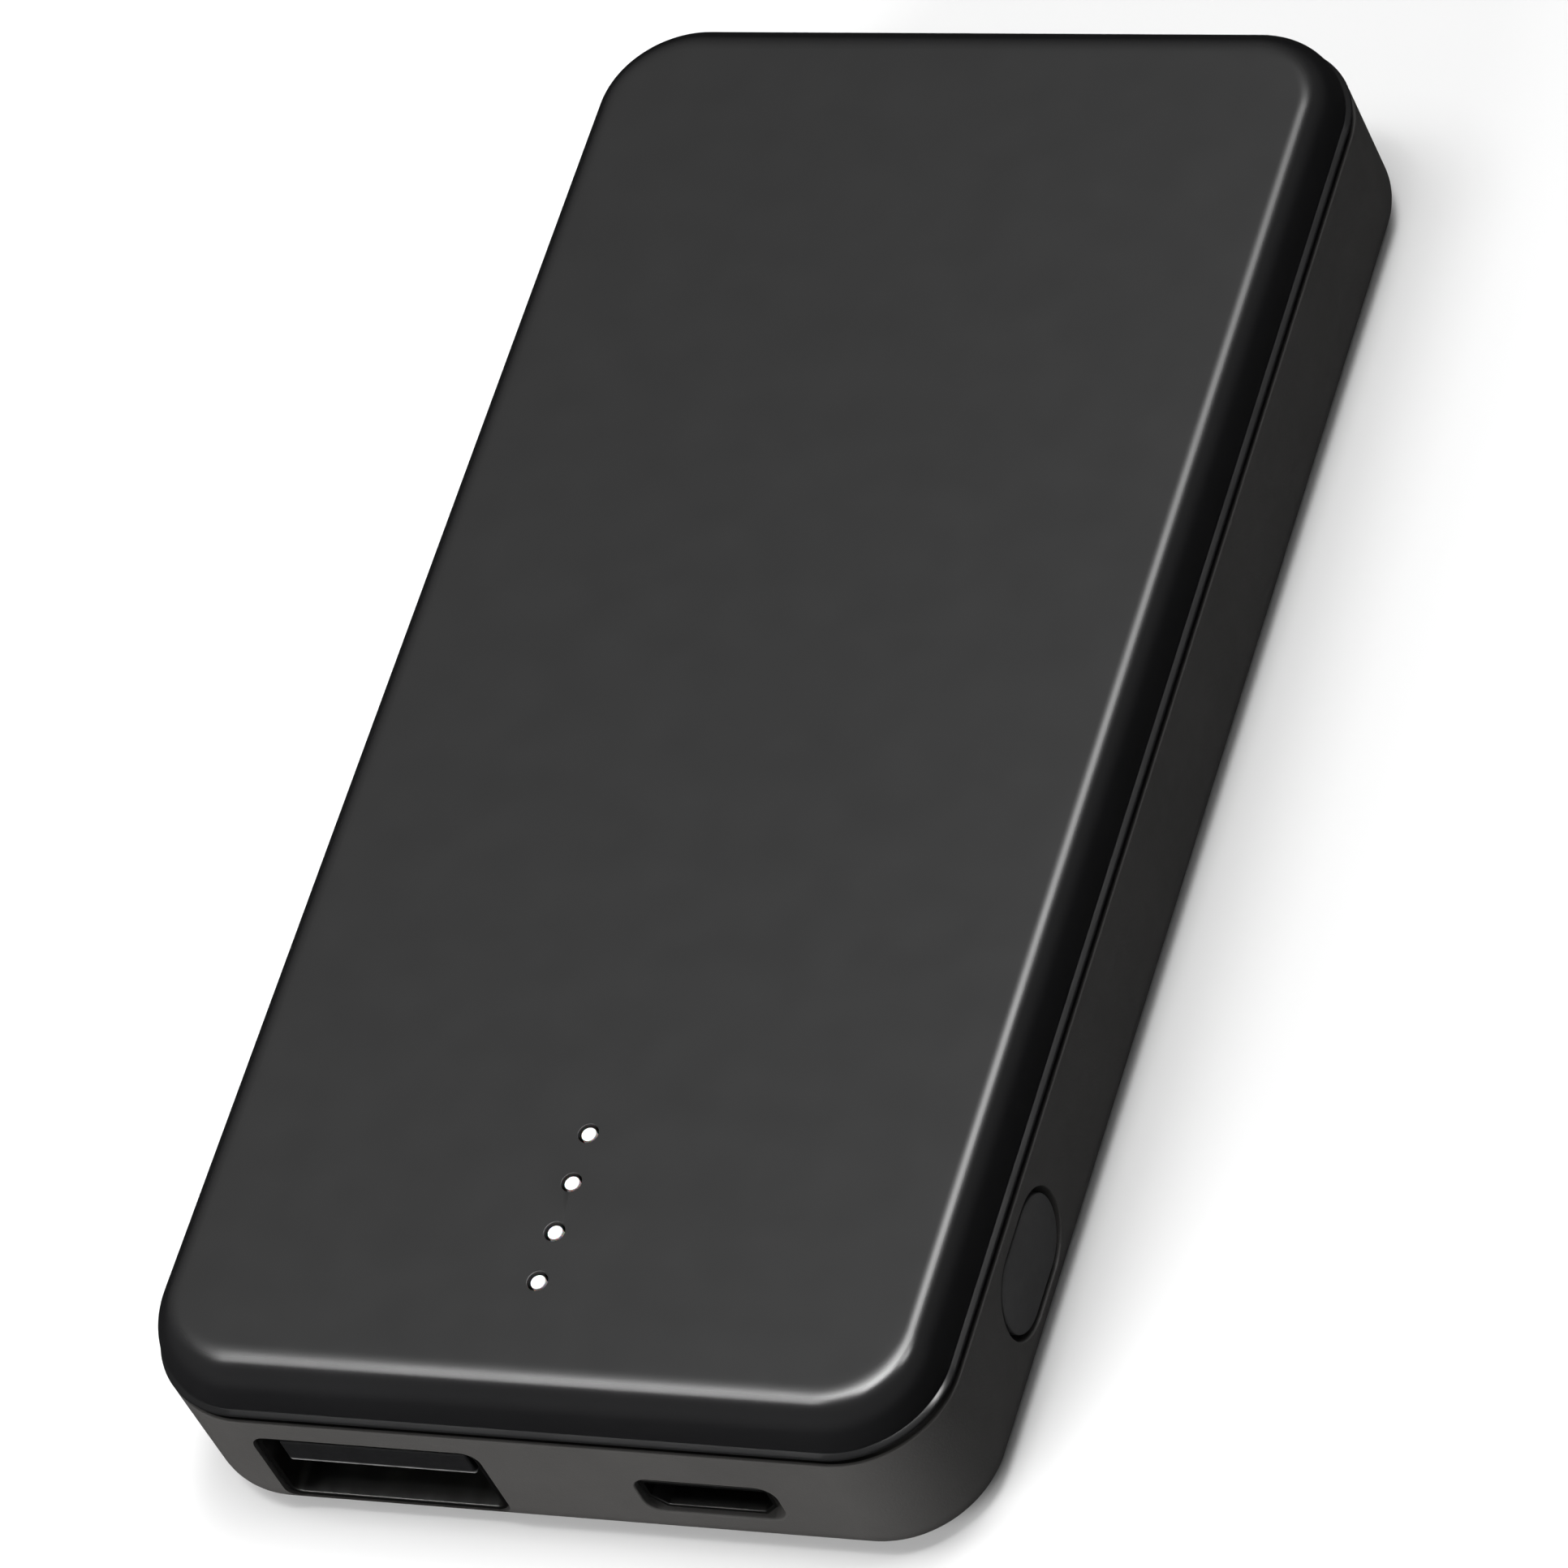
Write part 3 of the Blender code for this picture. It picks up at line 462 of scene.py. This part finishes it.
powerButton = makeButton(button)
print("button made", len(powerButton.data.polygons))


guide = {
    "railHeight": 1.0 * mm,
    "legLength": 1.0 * mm,
    "pinRadius": 0.42 * mm,
    "pinRound": 0.08 * mm,
    "pinSteps": 4,
    "railRound": 0.15 * mm,
}


def makeGuide(v):
    low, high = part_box("light_guide")
    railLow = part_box("led_1")[1].z + gap
    railTop = railLow + v["railHeight"]
    railMid = railLow + v["railHeight"] / 2
    piece = addBlock("lightGuide", (low.x, low.y, railLow), (high.x, high.y, railTop))
    pick(piece, "EDGE", lambda e: along(e, 2) or flatOn(e, 2, railTop))
    roundOff(v["railRound"], softSteps)
    for start in (low.y + v["railRound"], high.y - v["legLength"]):
        end = start + v["legLength"] - v["railRound"]
        foot = (low.x + v["railRound"], start, low.z)
        leg = addBlock("leg", foot, (high.x - v["railRound"], end, railMid))
        boolean(piece, leg, "UNION")
    for y in lightRows:
        pin = addRod("pin", v["pinRadius"], (lightX, frontY + y, railMid), (lightX, frontY + y, high.z))
        pick(pin, "EDGE", rimOf(2, high.z))
        roundOff(v["pinRound"], v["pinSteps"])
        boolean(piece, pin, "UNION")
    return finishPiece(piece, "case", ["light_guide"])


lightGuide = makeGuide(guide)
print("light guide made", len(lightGuide.data.polygons))


usb = {
    "sheet": 0.3 * mm,
    "corner": 0.8 * mm,
    "cornerSteps": 6,
    "lipRound": 0.09 * mm,
    "springWidth": 2.2 * mm,
    "springLength": 5.0 * mm,
    "springSlit": 0.4 * mm,
    "springX": 2.9 * mm,
    "springSetback": 2.9 * mm,
    "slitOverlap": 0.05 * mm,
    "tongueWidth": 11.1 * mm,
    "tongueHeight": 1.84 * mm,
    "tongueDrop": 0.66 * mm,
    "tongueSetback": 0.35 * mm,
    "tongueRound": 0.18 * mm,
    "tongueSteps": 4,
    "blockDepth": 4.5 * mm,
    "blockSteps": 5,
    "contactRound": 0.12 * mm,
    "grooveDrop": 0.2 * mm,
    "fit": 0.12 * mm,
}


# A folded sheet sleeve, open to the front and the back
def makeSleeve(name, low, high, sheet, shape, lipRound):
    piece = addBlock(name, low, high)
    shape(piece)
    pick(piece, "FACE", lambda f: abs(f.normal.y) > 0.99)
    bpy.ops.mesh.delete(type="FACE")
    letGo()
    take(piece)
    skin = piece.modifiers.new("sheet", "SOLIDIFY")
    skin.thickness = sheet
    skin.offset = -1
    skin.use_even_offset = True
    bpy.ops.object.modifier_apply(modifier=skin.name)
    pick(piece, "EDGE", lambda e: flatOn(e, 1, low.y) and any(abs(f.normal.y) < 0.5 for f in e.link_faces))
    roundOff(lipRound, softSteps)
    return piece


def cutGrooves(piece, name, count, fit, drop):  # open grooves round the contacts under a tongue
    for index in range(1, count + 1):
        low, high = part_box(f"{name}_{index}")
        grooveLow = low - Vector((fit, fit, drop))
        boolean(piece, addBlock("groove", grooveLow, high + Vector((fit, fit, fit))))


def makeUsbShield(v):
    def shape(piece):
        pick(piece, "EDGE", lambda e: along(e, 1))
        roundOff(v["corner"], v["cornerSteps"])
    piece = makeSleeve("usbShield", usbLow, usbHigh, v["sheet"], shape, v["lipRound"])
    start = usbLow.y + v["springSetback"]
    end = start + v["springLength"]
    half = v["springWidth"] / 2
    slit = v["springSlit"]
    wide = half + v["slitOverlap"]
    for side in (-1, 1):
        x = usbMid.x + side * v["springX"]
        for z in (usbLow.z, usbHigh.z):
            zs = (z - 2 * v["sheet"], z + 2 * v["sheet"])
            for low, high in (
                ((x - half - slit, start), (x - half, end)),
                ((x + half, start), (x + half + slit, end)),
                ((x - wide, end - slit), (x + wide, end)),
            ):
                boolean(piece, addBlock("slit", (*low, zs[0]), (*high, zs[1])))
    return finishPiece(piece, "case", ["usb_a_shield"])


def makeUsbTongue(v):
    room = v["sheet"] + v["fit"]
    low = Vector((usbLow.x + room, usbHigh.y - v["blockDepth"], usbLow.z + room))
    high = Vector((usbHigh.x - room, usbHigh.y, usbHigh.z - room))
    piece = addBlock("usbTongue", low, high)
    pick(piece, "EDGE", lambda e: along(e, 1))
    roundOff(v["corner"] - v["sheet"], v["blockSteps"])
    top = usbHigh.z - v["sheet"] - v["tongueDrop"]
    half = v["tongueWidth"] / 2
    root = low.y + over
    corner = (usbMid.x - half, usbLow.y + v["tongueSetback"], top - v["tongueHeight"])
    tongue = addBlock("tongue", corner, (usbMid.x + half, root, top))
    pick(tongue, "EDGE", lambda e: not flatOn(e, 1, root))
    roundOff(v["tongueRound"], v["tongueSteps"])
    boolean(piece, tongue, "UNION")
    cutGrooves(piece, "usb_a_contact", 4, v["fit"], v["grooveDrop"])
    return finishPiece(piece, "case", ["usb_a_insulator"])


def makeContacts(v):
    low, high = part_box("usb_a_contact_1")
    first = addBlock("usbContact1", low, high)
    pick(first, "EDGE", lambda e: flatOn(e, 1, low.y) or flatOn(e, 2, low.z))
    roundOff(v["contactRound"], softSteps)
    made = [first]
    for index in range(2, 5):
        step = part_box(f"usb_a_contact_{index}")[0] - low
        made.append(copyPiece(first, f"usbContact{index}", step))
    for index, piece in enumerate(made, 1):
        finishPiece(piece, "case", [f"usb_a_contact_{index}"])
    return made


usbShield = makeUsbShield(usb)
usbTongue = makeUsbTongue(usb)
usbContacts = makeContacts(usb)
print("full-size socket made", len(usbShield.data.polygons), len(usbTongue.data.polygons))


micro = {
    "sheet": 0.25 * mm,
    "chamfer": 0.9 * mm,
    "topRound": 0.35 * mm,
    "topSteps": 4,
    "lipRound": 0.07 * mm,
    "tongueWidth": 3.9 * mm,
    "tongueHeight": 0.6 * mm,
    "tongueDrop": 0.35 * mm,
    "tongueSetback": 0.7 * mm,
    "tongueRound": 0.08 * mm,
    "blockDepth": 1.4 * mm,
    "blockRound": 0.2 * mm,
    "contactFit": 0.05 * mm,
    "grooveDrop": 0.1 * mm,
    "fit": 0.12 * mm,
}


def microShape(chamfer, topRound):  # chamfered low corners, rounded top ones
    def shape(piece):
        lowZ = min(v.co.z for v in piece.data.vertices)
        pick(piece, "EDGE", lambda e: along(e, 1) and flatOn(e, 2, lowZ))
        roundOff(chamfer, 1)
        highZ = max(v.co.z for v in bmesh.from_edit_mesh(piece.data).verts)
        pick(piece, "EDGE", lambda e: along(e, 1) and flatOn(e, 2, highZ))
        roundOff(topRound, micro["topSteps"])
    return shape


def makeMicroTongue(v):
    room = v["sheet"] + v["fit"]
    low = Vector((microLow.x + room, microHigh.y - v["blockDepth"], microLow.z + room))
    high = Vector((microHigh.x - room, microHigh.y, microHigh.z - room))
    piece = addBlock("microTongue", low, high)
    microShape(v["chamfer"] - v["fit"], v["blockRound"])(piece)
    top = microHigh.z - v["sheet"] - v["tongueDrop"]
    half = v["tongueWidth"] / 2
    root = low.y + v["blockDepth"] / 2
    corner = (microMid.x - half, microLow.y + v["tongueSetback"], top - v["tongueHeight"])
    tongue = addBlock("tongue", corner, (microMid.x + half, root, top))
    pick(tongue, "EDGE", lambda e: not flatOn(e, 1, root))
    roundOff(v["tongueRound"], softSteps)
    boolean(piece, tongue, "UNION")
    cutGrooves(piece, "micro_usb_contact", 5, v["contactFit"], v["grooveDrop"])
    return finishPiece(piece, "case", ["micro_usb_insulator"])


def makeMicroShell(v):
    shape = microShape(v["chamfer"], v["topRound"])
    piece = makeSleeve("microShell", microLow, microHigh, v["sheet"], shape, v["lipRound"])
    return finishPiece(piece, "case", ["micro_usb_shell"])


microShell = makeMicroShell(micro)
microTongue = makeMicroTongue(micro)
print("small socket made", len(microShell.data.polygons), len(microTongue.data.polygons))


def addNode(tree, kind, inputs=(), **settings):
    node = tree.nodes.new(kind)
    for name, value in settings.items():
        setattr(node, name, value)
    for socket, value in dict(inputs).items():
        if isinstance(value, bpy.types.NodeSocket):
            tree.links.new(value, node.inputs[socket])
        else:
            node.inputs[socket].default_value = value
    return node


def noise(tree, place, size, detail=3.0, roughness=0.5):
    inputs = {"Vector": place, "Scale": 1 / size, "Detail": detail, "Roughness": roughness}
    return addNode(tree, "ShaderNodeTexNoise", inputs).outputs["Fac"]


def between(tree, value, low, high, fromLow=0.25, fromHigh=0.75):
    inputs = {"Value": value, "From Min": fromLow, "From Max": fromHigh, "To Min": low, "To Max": high}
    return addNode(tree, "ShaderNodeMapRange", inputs).outputs["Result"]


def combine(tree, kind, one, other):
    return addNode(tree, "ShaderNodeMath", {0: one, 1: other}, operation=kind).outputs[0]


def tint(tree, factor, one, other):
    node = addNode(tree, "ShaderNodeMix", data_type="RGBA")
    tree.links.new(factor, node.inputs["Factor"])
    node.inputs["A"].default_value = (*one, 1)
    node.inputs["B"].default_value = (*other, 1)
    return node.outputs["Result"]


def blendOver(tree, factor, under, over):
    node = addNode(tree, "ShaderNodeMix", data_type="RGBA")
    for socket, source in (("Factor", factor), ("A", under), ("B", over)):
        tree.links.new(source, node.inputs[socket])
    return node.outputs["Result"]


def scaled(colour, share):
    return tuple(c * share for c in colour)


smearShare = 0.35  # smears of gloss are this much smaller than blotches of colour
wornLift = 1.8  # how much lighter a rubbed edge is
wornEdge = (0.52, 0.6)  # pointiness at which the rubbing starts and is complete


def makeMaterial(name, look):
    material = bpy.data.materials.new(name)
    material.use_nodes = True
    tree = material.node_tree
    shader = tree.nodes["Principled BSDF"]
    for socket, value in look.get("shader", {}).items():
        shader.inputs[socket].default_value = value
    place = addNode(tree, "ShaderNodeTexCoord").outputs["Object"]
    if "stretch" in look:
        stretched = addNode(tree, "ShaderNodeMapping", {"Vector": place, "Scale": look["stretch"]})
        place = stretched.outputs["Vector"]
    patches = noise(tree, place, look["patchSize"])
    colour = look["colour"]
    shift = look["colourShift"]
    blotches = between(tree, patches, 0, 1)
    shade = tint(tree, blotches, scaled(colour, 1 - shift), scaled(colour, 1 + shift))
    grain = noise(tree, place, look["grainSize"], 4.0, 0.6)
    if look.get("cells"):
        cells = addNode(tree, "ShaderNodeTexVoronoi", {"Vector": place, "Scale": 1 / look["cells"]})
        grain = combine(tree, "ADD", grain, cells.outputs["Distance"])
    rough = look["roughness"]
    smear = noise(tree, place, look["patchSize"] * smearShare, 2.0)
    roughness = between(tree, smear, rough - look["roughnessShift"], rough + look["roughnessShift"])
    if "face" in look:  # another colour and roughness from one height to another; the colour there is painted light: a lighter top on the cover, a painted highlight along the tongue's lower edge
        face = look["face"]
        height = addNode(tree, "ShaderNodeSeparateXYZ", {"Vector": place}).outputs["Z"]
        finishAndPaintedLightShare = between(tree, height, 0, 1, face["from"], face["to"])
        shift = face["colourShift"]
        paintedLightTint = tint(tree, blotches, scaled(face["colour"], 1 - shift), scaled(face["colour"], 1 + shift))
        shade = blendOver(tree, finishAndPaintedLightShare, shade, paintedLightTint)
        added = combine(tree, "MULTIPLY", finishAndPaintedLightShare, face["roughness"] - rough)
        roughness = combine(tree, "ADD", roughness, added)
    tree.links.new(roughness, shader.inputs["Roughness"])
    if look.get("worn"):
        edges = addNode(tree, "ShaderNodeNewGeometry").outputs["Pointiness"]
        rubbed = between(tree, edges, 0, look["worn"], *wornEdge)
        lighter = addNode(tree, "ShaderNodeMix", {"Factor": rubbed}, data_type="RGBA")
        tree.links.new(shade, lighter.inputs["A"])
        lighter.inputs["B"].default_value = (*scaled(colour, wornLift), 1)
        shade = lighter.outputs["Result"]
    tree.links.new(shade, shader.inputs["Base Color"])
    bump = addNode(tree, "ShaderNodeBump", {"Height": grain, "Distance": look["grainDepth"]})
    bump.inputs["Strength"].default_value = 1.0
    tree.links.new(bump.outputs["Normal"], shader.inputs["Normal"])
    return material


tongueLow = usbHigh.z - usb["sheet"] - usb["tongueDrop"] - usb["tongueHeight"]
looks = {
    "coverPlastic": {
        "colour": (0.005, 0.005, 0.0053), "colourShift": 0.06, "roughness": 0.2, "roughnessShift": 0.012,
        "patchSize": 9 * mm, "grainSize": 0.35 * mm, "grainDepth": 0.0012 * mm,
        "shader": {"Specular IOR Level": 0.8},
        "face": {
            # the flat top is painted lighter than the dark rounded band, a painted light where the lamps
            # fall on the top, and it also gets a rougher satin finish
            "colour": (0.0105, 0.0105, 0.0106), "colourShift": 0.015, "roughness": 0.32,
            "from": topZ - 0.25 * mm, "to": topZ - 0.02 * mm,
        },
    },
    "casePlastic": {
        "colour": (0.038, 0.0368, 0.0356), "colourShift": 0.06, "roughness": 0.55, "roughnessShift": 0.05,
        "patchSize": 6 * mm, "grainSize": 0.16 * mm, "grainDepth": 0.012 * mm,
        "shader": {"IOR": 1.4},
    },
    "buttonPlastic": {
        "colour": (0.04, 0.04, 0.0405), "colourShift": 0.06, "roughness": 0.42, "roughnessShift": 0.04,
        "patchSize": 2 * mm, "grainSize": 0.12 * mm, "grainDepth": 0.006 * mm, "worn": 0.3,
        "shader": {"IOR": 1.4},
    },
    "lightPlastic": {
        "colour": (0.93, 0.94, 0.94), "colourShift": 0.02, "roughness": 0.28, "roughnessShift": 0.05,
        "patchSize": 0.8 * mm, "grainSize": 0.1 * mm, "grainDepth": 0.003 * mm,
        "shader": {"Subsurface Weight": 0.3, "Subsurface Scale": 0.3 * mm},
    },
    "socketSteel": {
        # steel kept dark: its low colour is a painted shade for the insides of the sockets
        "colour": (0.24, 0.24, 0.235), "colourShift": 0.08, "roughness": 0.36, "roughnessShift": 0.07,
        "patchSize": 1.5 * mm, "grainSize": 0.08 * mm, "grainDepth": 0.002 * mm, "stretch": (1, 0.08, 1),
        "shader": {"Metallic": 1.0},
    },
    "contactGold": {
        "colour": (0.83, 0.6, 0.26), "colourShift": 0.08, "roughness": 0.25, "roughnessShift": 0.06,
        "patchSize": 0.8 * mm, "grainSize": 0.05 * mm, "grainDepth": 0.001 * mm, "stretch": (1, 0.1, 1),
        "shader": {"Metallic": 1.0},
    },
    "insulator": {
        "colour": (0.008, 0.008, 0.0084), "colourShift": 0.1, "roughness": 0.5, "roughnessShift": 0.06,
        "patchSize": 1.2 * mm, "grainSize": 0.07 * mm, "grainDepth": 0.003 * mm,
    },
    "tongueNylon": {  # black, with a painted highlight: a pale band along the tongue's lower edge
        "colour": (0.006, 0.006, 0.0063), "colourShift": 0.1, "roughness": 0.5, "roughnessShift": 0.06,
        "patchSize": 1.2 * mm, "grainSize": 0.07 * mm, "grainDepth": 0.003 * mm,
        "face": {
            "colour": (0.12, 0.12, 0.12), "colourShift": 0.35, "roughness": 0.4,
            "from": tongueLow + 0.3 * mm, "to": tongueLow + 0.16 * mm,
        },
    },
    "boardMask": {
        "colour": (0.02, 0.14, 0.06), "colourShift": 0.15, "roughness": 0.32, "roughnessShift": 0.06,
        "patchSize": 3 * mm, "grainSize": 0.5 * mm, "grainDepth": 0.006 * mm,
    },
    "chipResin": {
        "colour": (0.02, 0.02, 0.022), "colourShift": 0.12, "roughness": 0.6, "roughnessShift": 0.08,
        "patchSize": 0.7 * mm, "grainSize": 0.06 * mm, "grainDepth": 0.006 * mm, "worn": 0.2,
    },
    "capacitorCeramic": {
        "colour": (0.42, 0.3, 0.19), "colourShift": 0.1, "roughness": 0.5, "roughnessShift": 0.08,
        "patchSize": 0.6 * mm, "grainSize": 0.05 * mm, "grainDepth": 0.004 * mm,
    },
    "ferriteCore": {
        "colour": (0.1, 0.1, 0.11), "colourShift": 0.2, "roughness": 0.62, "roughnessShift": 0.1,
        "patchSize": 1.1 * mm, "grainSize": 0.12 * mm, "grainDepth": 0.012 * mm, "cells": 0.25 * mm,
    },
    "pouchFoil": {
        "colour": (0.66, 0.67, 0.68), "colourShift": 0.06, "roughness": 0.36, "roughnessShift": 0.08,
        "patchSize": 11 * mm, "grainSize": 4 * mm, "grainDepth": 0.08 * mm,
        "shader": {"Metallic": 0.85},
    },
    "nickelStrip": {
        "colour": (0.7, 0.68, 0.63), "colourShift": 0.06, "roughness": 0.3, "roughnessShift": 0.08,
        "patchSize": 1.5 * mm, "grainSize": 0.1 * mm, "grainDepth": 0.003 * mm, "stretch": (0.08, 1, 1),
        "shader": {"Metallic": 1.0},
    },
    "redInsulation": {
        "colour": (0.55, 0.03, 0.02), "colourShift": 0.1, "roughness": 0.42, "roughnessShift": 0.06,
        "patchSize": 2 * mm, "grainSize": 0.2 * mm, "grainDepth": 0.006 * mm,
    },
    "blackInsulation": {
        "colour": (0.02, 0.02, 0.02), "colourShift": 0.15, "roughness": 0.42, "roughnessShift": 0.06,
        "patchSize": 2 * mm, "grainSize": 0.2 * mm, "grainDepth": 0.006 * mm,
    },
    "openFoam": {
        "colour": (0.05, 0.05, 0.05), "colourShift": 0.3, "roughness": 0.92, "roughnessShift": 0.05,
        "patchSize": 2.5 * mm, "grainSize": 0.4 * mm, "grainDepth": 0.09 * mm, "cells": 0.45 * mm,
    },
    "adhesiveTape": {
        "colour": (0.8, 0.78, 0.7), "colourShift": 0.05, "roughness": 0.5, "roughnessShift": 0.12,
        "patchSize": 7 * mm, "grainSize": 1.2 * mm, "grainDepth": 0.015 * mm,
    },
    "screwSteel": {
        "colour": (0.5, 0.5, 0.5), "colourShift": 0.1, "roughness": 0.34, "roughnessShift": 0.08,
        "patchSize": 0.8 * mm, "grainSize": 0.07 * mm, "grainDepth": 0.004 * mm, "worn": 0.4,
        "shader": {"Metallic": 1.0},
    },
    "ledResin": {
        "colour": (0.8, 0.78, 0.62), "colourShift": 0.06, "roughness": 0.35, "roughnessShift": 0.06,
        "patchSize": 0.6 * mm, "grainSize": 0.06 * mm, "grainDepth": 0.003 * mm,
    },
}
materials = {name: makeMaterial(name, look) for name, look in looks.items()}


def paint(piece, name):
    piece.data.materials.clear()
    piece.data.materials.append(materials[name])


paint(coverShell, "coverPlastic")
paint(lowerCase, "casePlastic")
paint(powerButton, "buttonPlastic")
paint(lightGuide, "lightPlastic")
paint(usbShield, "socketSteel")
paint(microShell, "socketSteel")
paint(usbTongue, "tongueNylon")
paint(microTongue, "insulator")
for contact in usbContacts:
    paint(contact, "contactGold")

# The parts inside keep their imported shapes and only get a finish
insideFinishes = {
    "boardMask": ["circuit_board", "guard_board"],
    "chipResin": ["boost_ic", "charge_ic", "switch_body", "resistor_1", "resistor_2"],
    "insulator": ["switch_plunger"],
    "capacitorCeramic": ["capacitor_1", "capacitor_2", "capacitor_3"],
    "ferriteCore": ["power_inductor"],
    "pouchFoil": ["battery_cell"],
    "nickelStrip": ["cell_tab_positive", "cell_tab_negative"],
    "redInsulation": ["positive_lead"],
    "blackInsulation": ["negative_lead"],
    "openFoam": ["foam_pad"],
    "adhesiveTape": ["cell_tape"],
    "screwSteel": ["board_screw_1", "board_screw_2"],
    "ledResin": [f"led_{index}" for index in range(1, 5)],
    "contactGold": [f"micro_usb_contact_{index}" for index in range(1, 6)],
}
for finish, names in insideFinishes.items():
    for name in names:
        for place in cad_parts[name].material_slots:
            place.material = materials[finish]
print("materials made")


studio = {
    "sides": 96,
    "floorRadius": 2.0,
    "floorRim": 0.5,
    "floorDrop": 0.02 * mm,
    "wallHeight": 1.2,
    "wallSteps": 8,
    "wallSpread": 0.06,
    "floorColour": (0.7, 0.7, 0.7),
    "floorRoughness": 0.9,
    "floorShine": 0.1,
    "backdropRadius": 0.72,
    "backdropHeight": 1.1,
    "backdropGlow": 0.55,
    "sky": (0.14, 0.14, 0.14),
    "ground": (0.012, 0.012, 0.012),
    "horizon": (0.0, 0.5),
    "azimuth": 40.21,
    "elevation": 48.09,
    "roll": -29.86,
    "distance": 0.5265,
    "lens": 222.97,
    "shift": (-0.0035, -0.0252),
}


def makeStudio(v):
    letGo()
    bpy.ops.mesh.primitive_circle_add(
        vertices=v["sides"], radius=v["floorRadius"], fill_type="NGON", location=(0, 0, -v["floorDrop"]))
    floor = settle("floor")
    pick(floor, "FACE", lambda f: True)
    drawIn(v["floorRim"])
    pick(floor, "EDGE", lambda e: len(e.link_faces) == 1)
    turn = math.pi / 2 / v["wallSteps"]
    for step in range(1, v["wallSteps"] + 1):
        angle = turn * step
        pullOut((0, 0, v["wallHeight"] / 2 * (math.cos(angle - turn) - math.cos(angle))))
        grow = 1 + v["wallSpread"] * math.cos(angle)
        bpy.ops.transform.resize(value=(grow, grow, 1), center_override=(0, 0, 0))
    pullOut((0, 0, v["wallHeight"]))
    take(floor)
    bpy.ops.object.shade_smooth()
    material = bpy.data.materials.new("paleFloor")
    material.use_nodes = True
    shader = material.node_tree.nodes["Principled BSDF"]
    shader.inputs["Base Color"].default_value = (*v["floorColour"], 1)
    shader.inputs["Roughness"].default_value = v["floorRoughness"]
    shader.inputs["Specular IOR Level"].default_value = v["floorShine"]
    floor.data.materials.append(material)
    floor.visible_glossy = False
    world = bpy.data.worlds.new("studio")
    world.use_nodes = True
    tree = world.node_tree
    upward = addNode(tree, "ShaderNodeTexCoord").outputs["Generated"]
    height = addNode(tree, "ShaderNodeSeparateXYZ", {"Vector": upward}).outputs["Z"]
    share = between(tree, height, 0, 1, *v["horizon"])
    glow = tint(tree, share, v["ground"], v["sky"])
    tree.links.new(glow, tree.nodes["Background"].inputs["Color"])
    bpy.context.scene.world = world


def addBackdrop(v):  # a pale wall all round that only the camera sees
    letGo()
    bpy.ops.mesh.primitive_cylinder_add(
        vertices=v["sides"], radius=v["backdropRadius"], depth=v["backdropHeight"],
        end_fill_type="NOTHING", location=(0, 0, v["backdropHeight"] / 2))
    backdrop = settle("backdrop")
    bpy.ops.object.shade_smooth()
    material = bpy.data.materials.new("paleBackdrop")
    material.use_nodes = True
    shader = material.node_tree.nodes["Principled BSDF"]
    shader.inputs["Base Color"].default_value = (0, 0, 0, 1)
    shader.inputs["Specular IOR Level"].default_value = 0
    shader.inputs["Emission Color"].default_value = (1, 1, 1, 1)
    shader.inputs["Emission Strength"].default_value = v["backdropGlow"]
    backdrop.data.materials.append(material)
    backdrop.visible_diffuse = False
    backdrop.visible_glossy = False
    backdrop.visible_transmission = False
    backdrop.visible_shadow = False


def addSoftbox(name, spot, size, radiance, turn=0.0, aimed=False, glossy=True):
    letGo()
    turned = Vector(spot).to_track_quat("Z", "Y").to_euler() if aimed else (0, 0, math.radians(turn))
    bpy.ops.object.light_add(type="AREA", location=spot, rotation=turned)
    lamp = bpy.context.object
    lamp.name = name
    lamp.data.shape = "RECTANGLE"
    lamp.data.size, lamp.data.size_y = size
    lamp.data.energy = radiance * size[0] * size[1] * math.pi
    lamp.visible_glossy = glossy
    lamp.visible_camera = False


def addCamera(v):
    letGo()
    azimuth, elevation = math.radians(v["azimuth"]), math.radians(v["elevation"])
    level = math.cos(elevation)
    back = Vector((math.sin(azimuth) * level, -math.cos(azimuth) * level, math.sin(elevation)))
    roll = Quaternion((0, 0, 1), math.radians(v["roll"]))
    middle = Vector((0, 0, topZ / 2))
    bpy.ops.object.camera_add(location=middle + back * v["distance"])
    camera = bpy.context.object
    camera.rotation_mode = "QUATERNION"
    camera.rotation_quaternion = back.to_track_quat("Z", "Y") @ roll
    camera.data.sensor_width = 36
    camera.data.lens = v["lens"]
    camera.data.shift_x, camera.data.shift_y = v["shift"]
    camera.data.clip_start = 0.01
    bpy.context.scene.camera = camera


softboxes = {
    "frontStrip": {"spot": (-0.29, -0.105, 0.61), "size": (0.16, 0.22), "radiance": 6.5},
    "turnStrip": {"spot": (-0.145, -0.045, 0.605), "size": (0.15, 0.13), "radiance": 11, "turn": 15},
    "cornerStrip": {"spot": (0.05, -0.01, 0.60), "size": (0.24, 0.15), "radiance": 15, "turn": 45},
    "cornerGlint": {"spot": (0.28, 0.09, 0.605), "size": (0.10, 0.10), "radiance": 12},
    "sideStrip": {"spot": (0.075, 0.225, 0.612), "size": (0.23, 0.25), "radiance": 9},
    "farStrip": {"spot": (0.075, 0.425, 0.614), "size": (0.23, 0.15), "radiance": 4.5},
    "frontKey": {
        "spot": (-0.33, -0.70, 0.21), "size": (0.6, 0.4), "radiance": 16, "aimed": True, "glossy": False},
}
makeStudio(studio)
addBackdrop(studio)
for name, values in softboxes.items():
    addSoftbox(name, **values)
addCamera(studio)
bpy.context.scene.view_settings.view_transform = "Standard"
print("studio made")
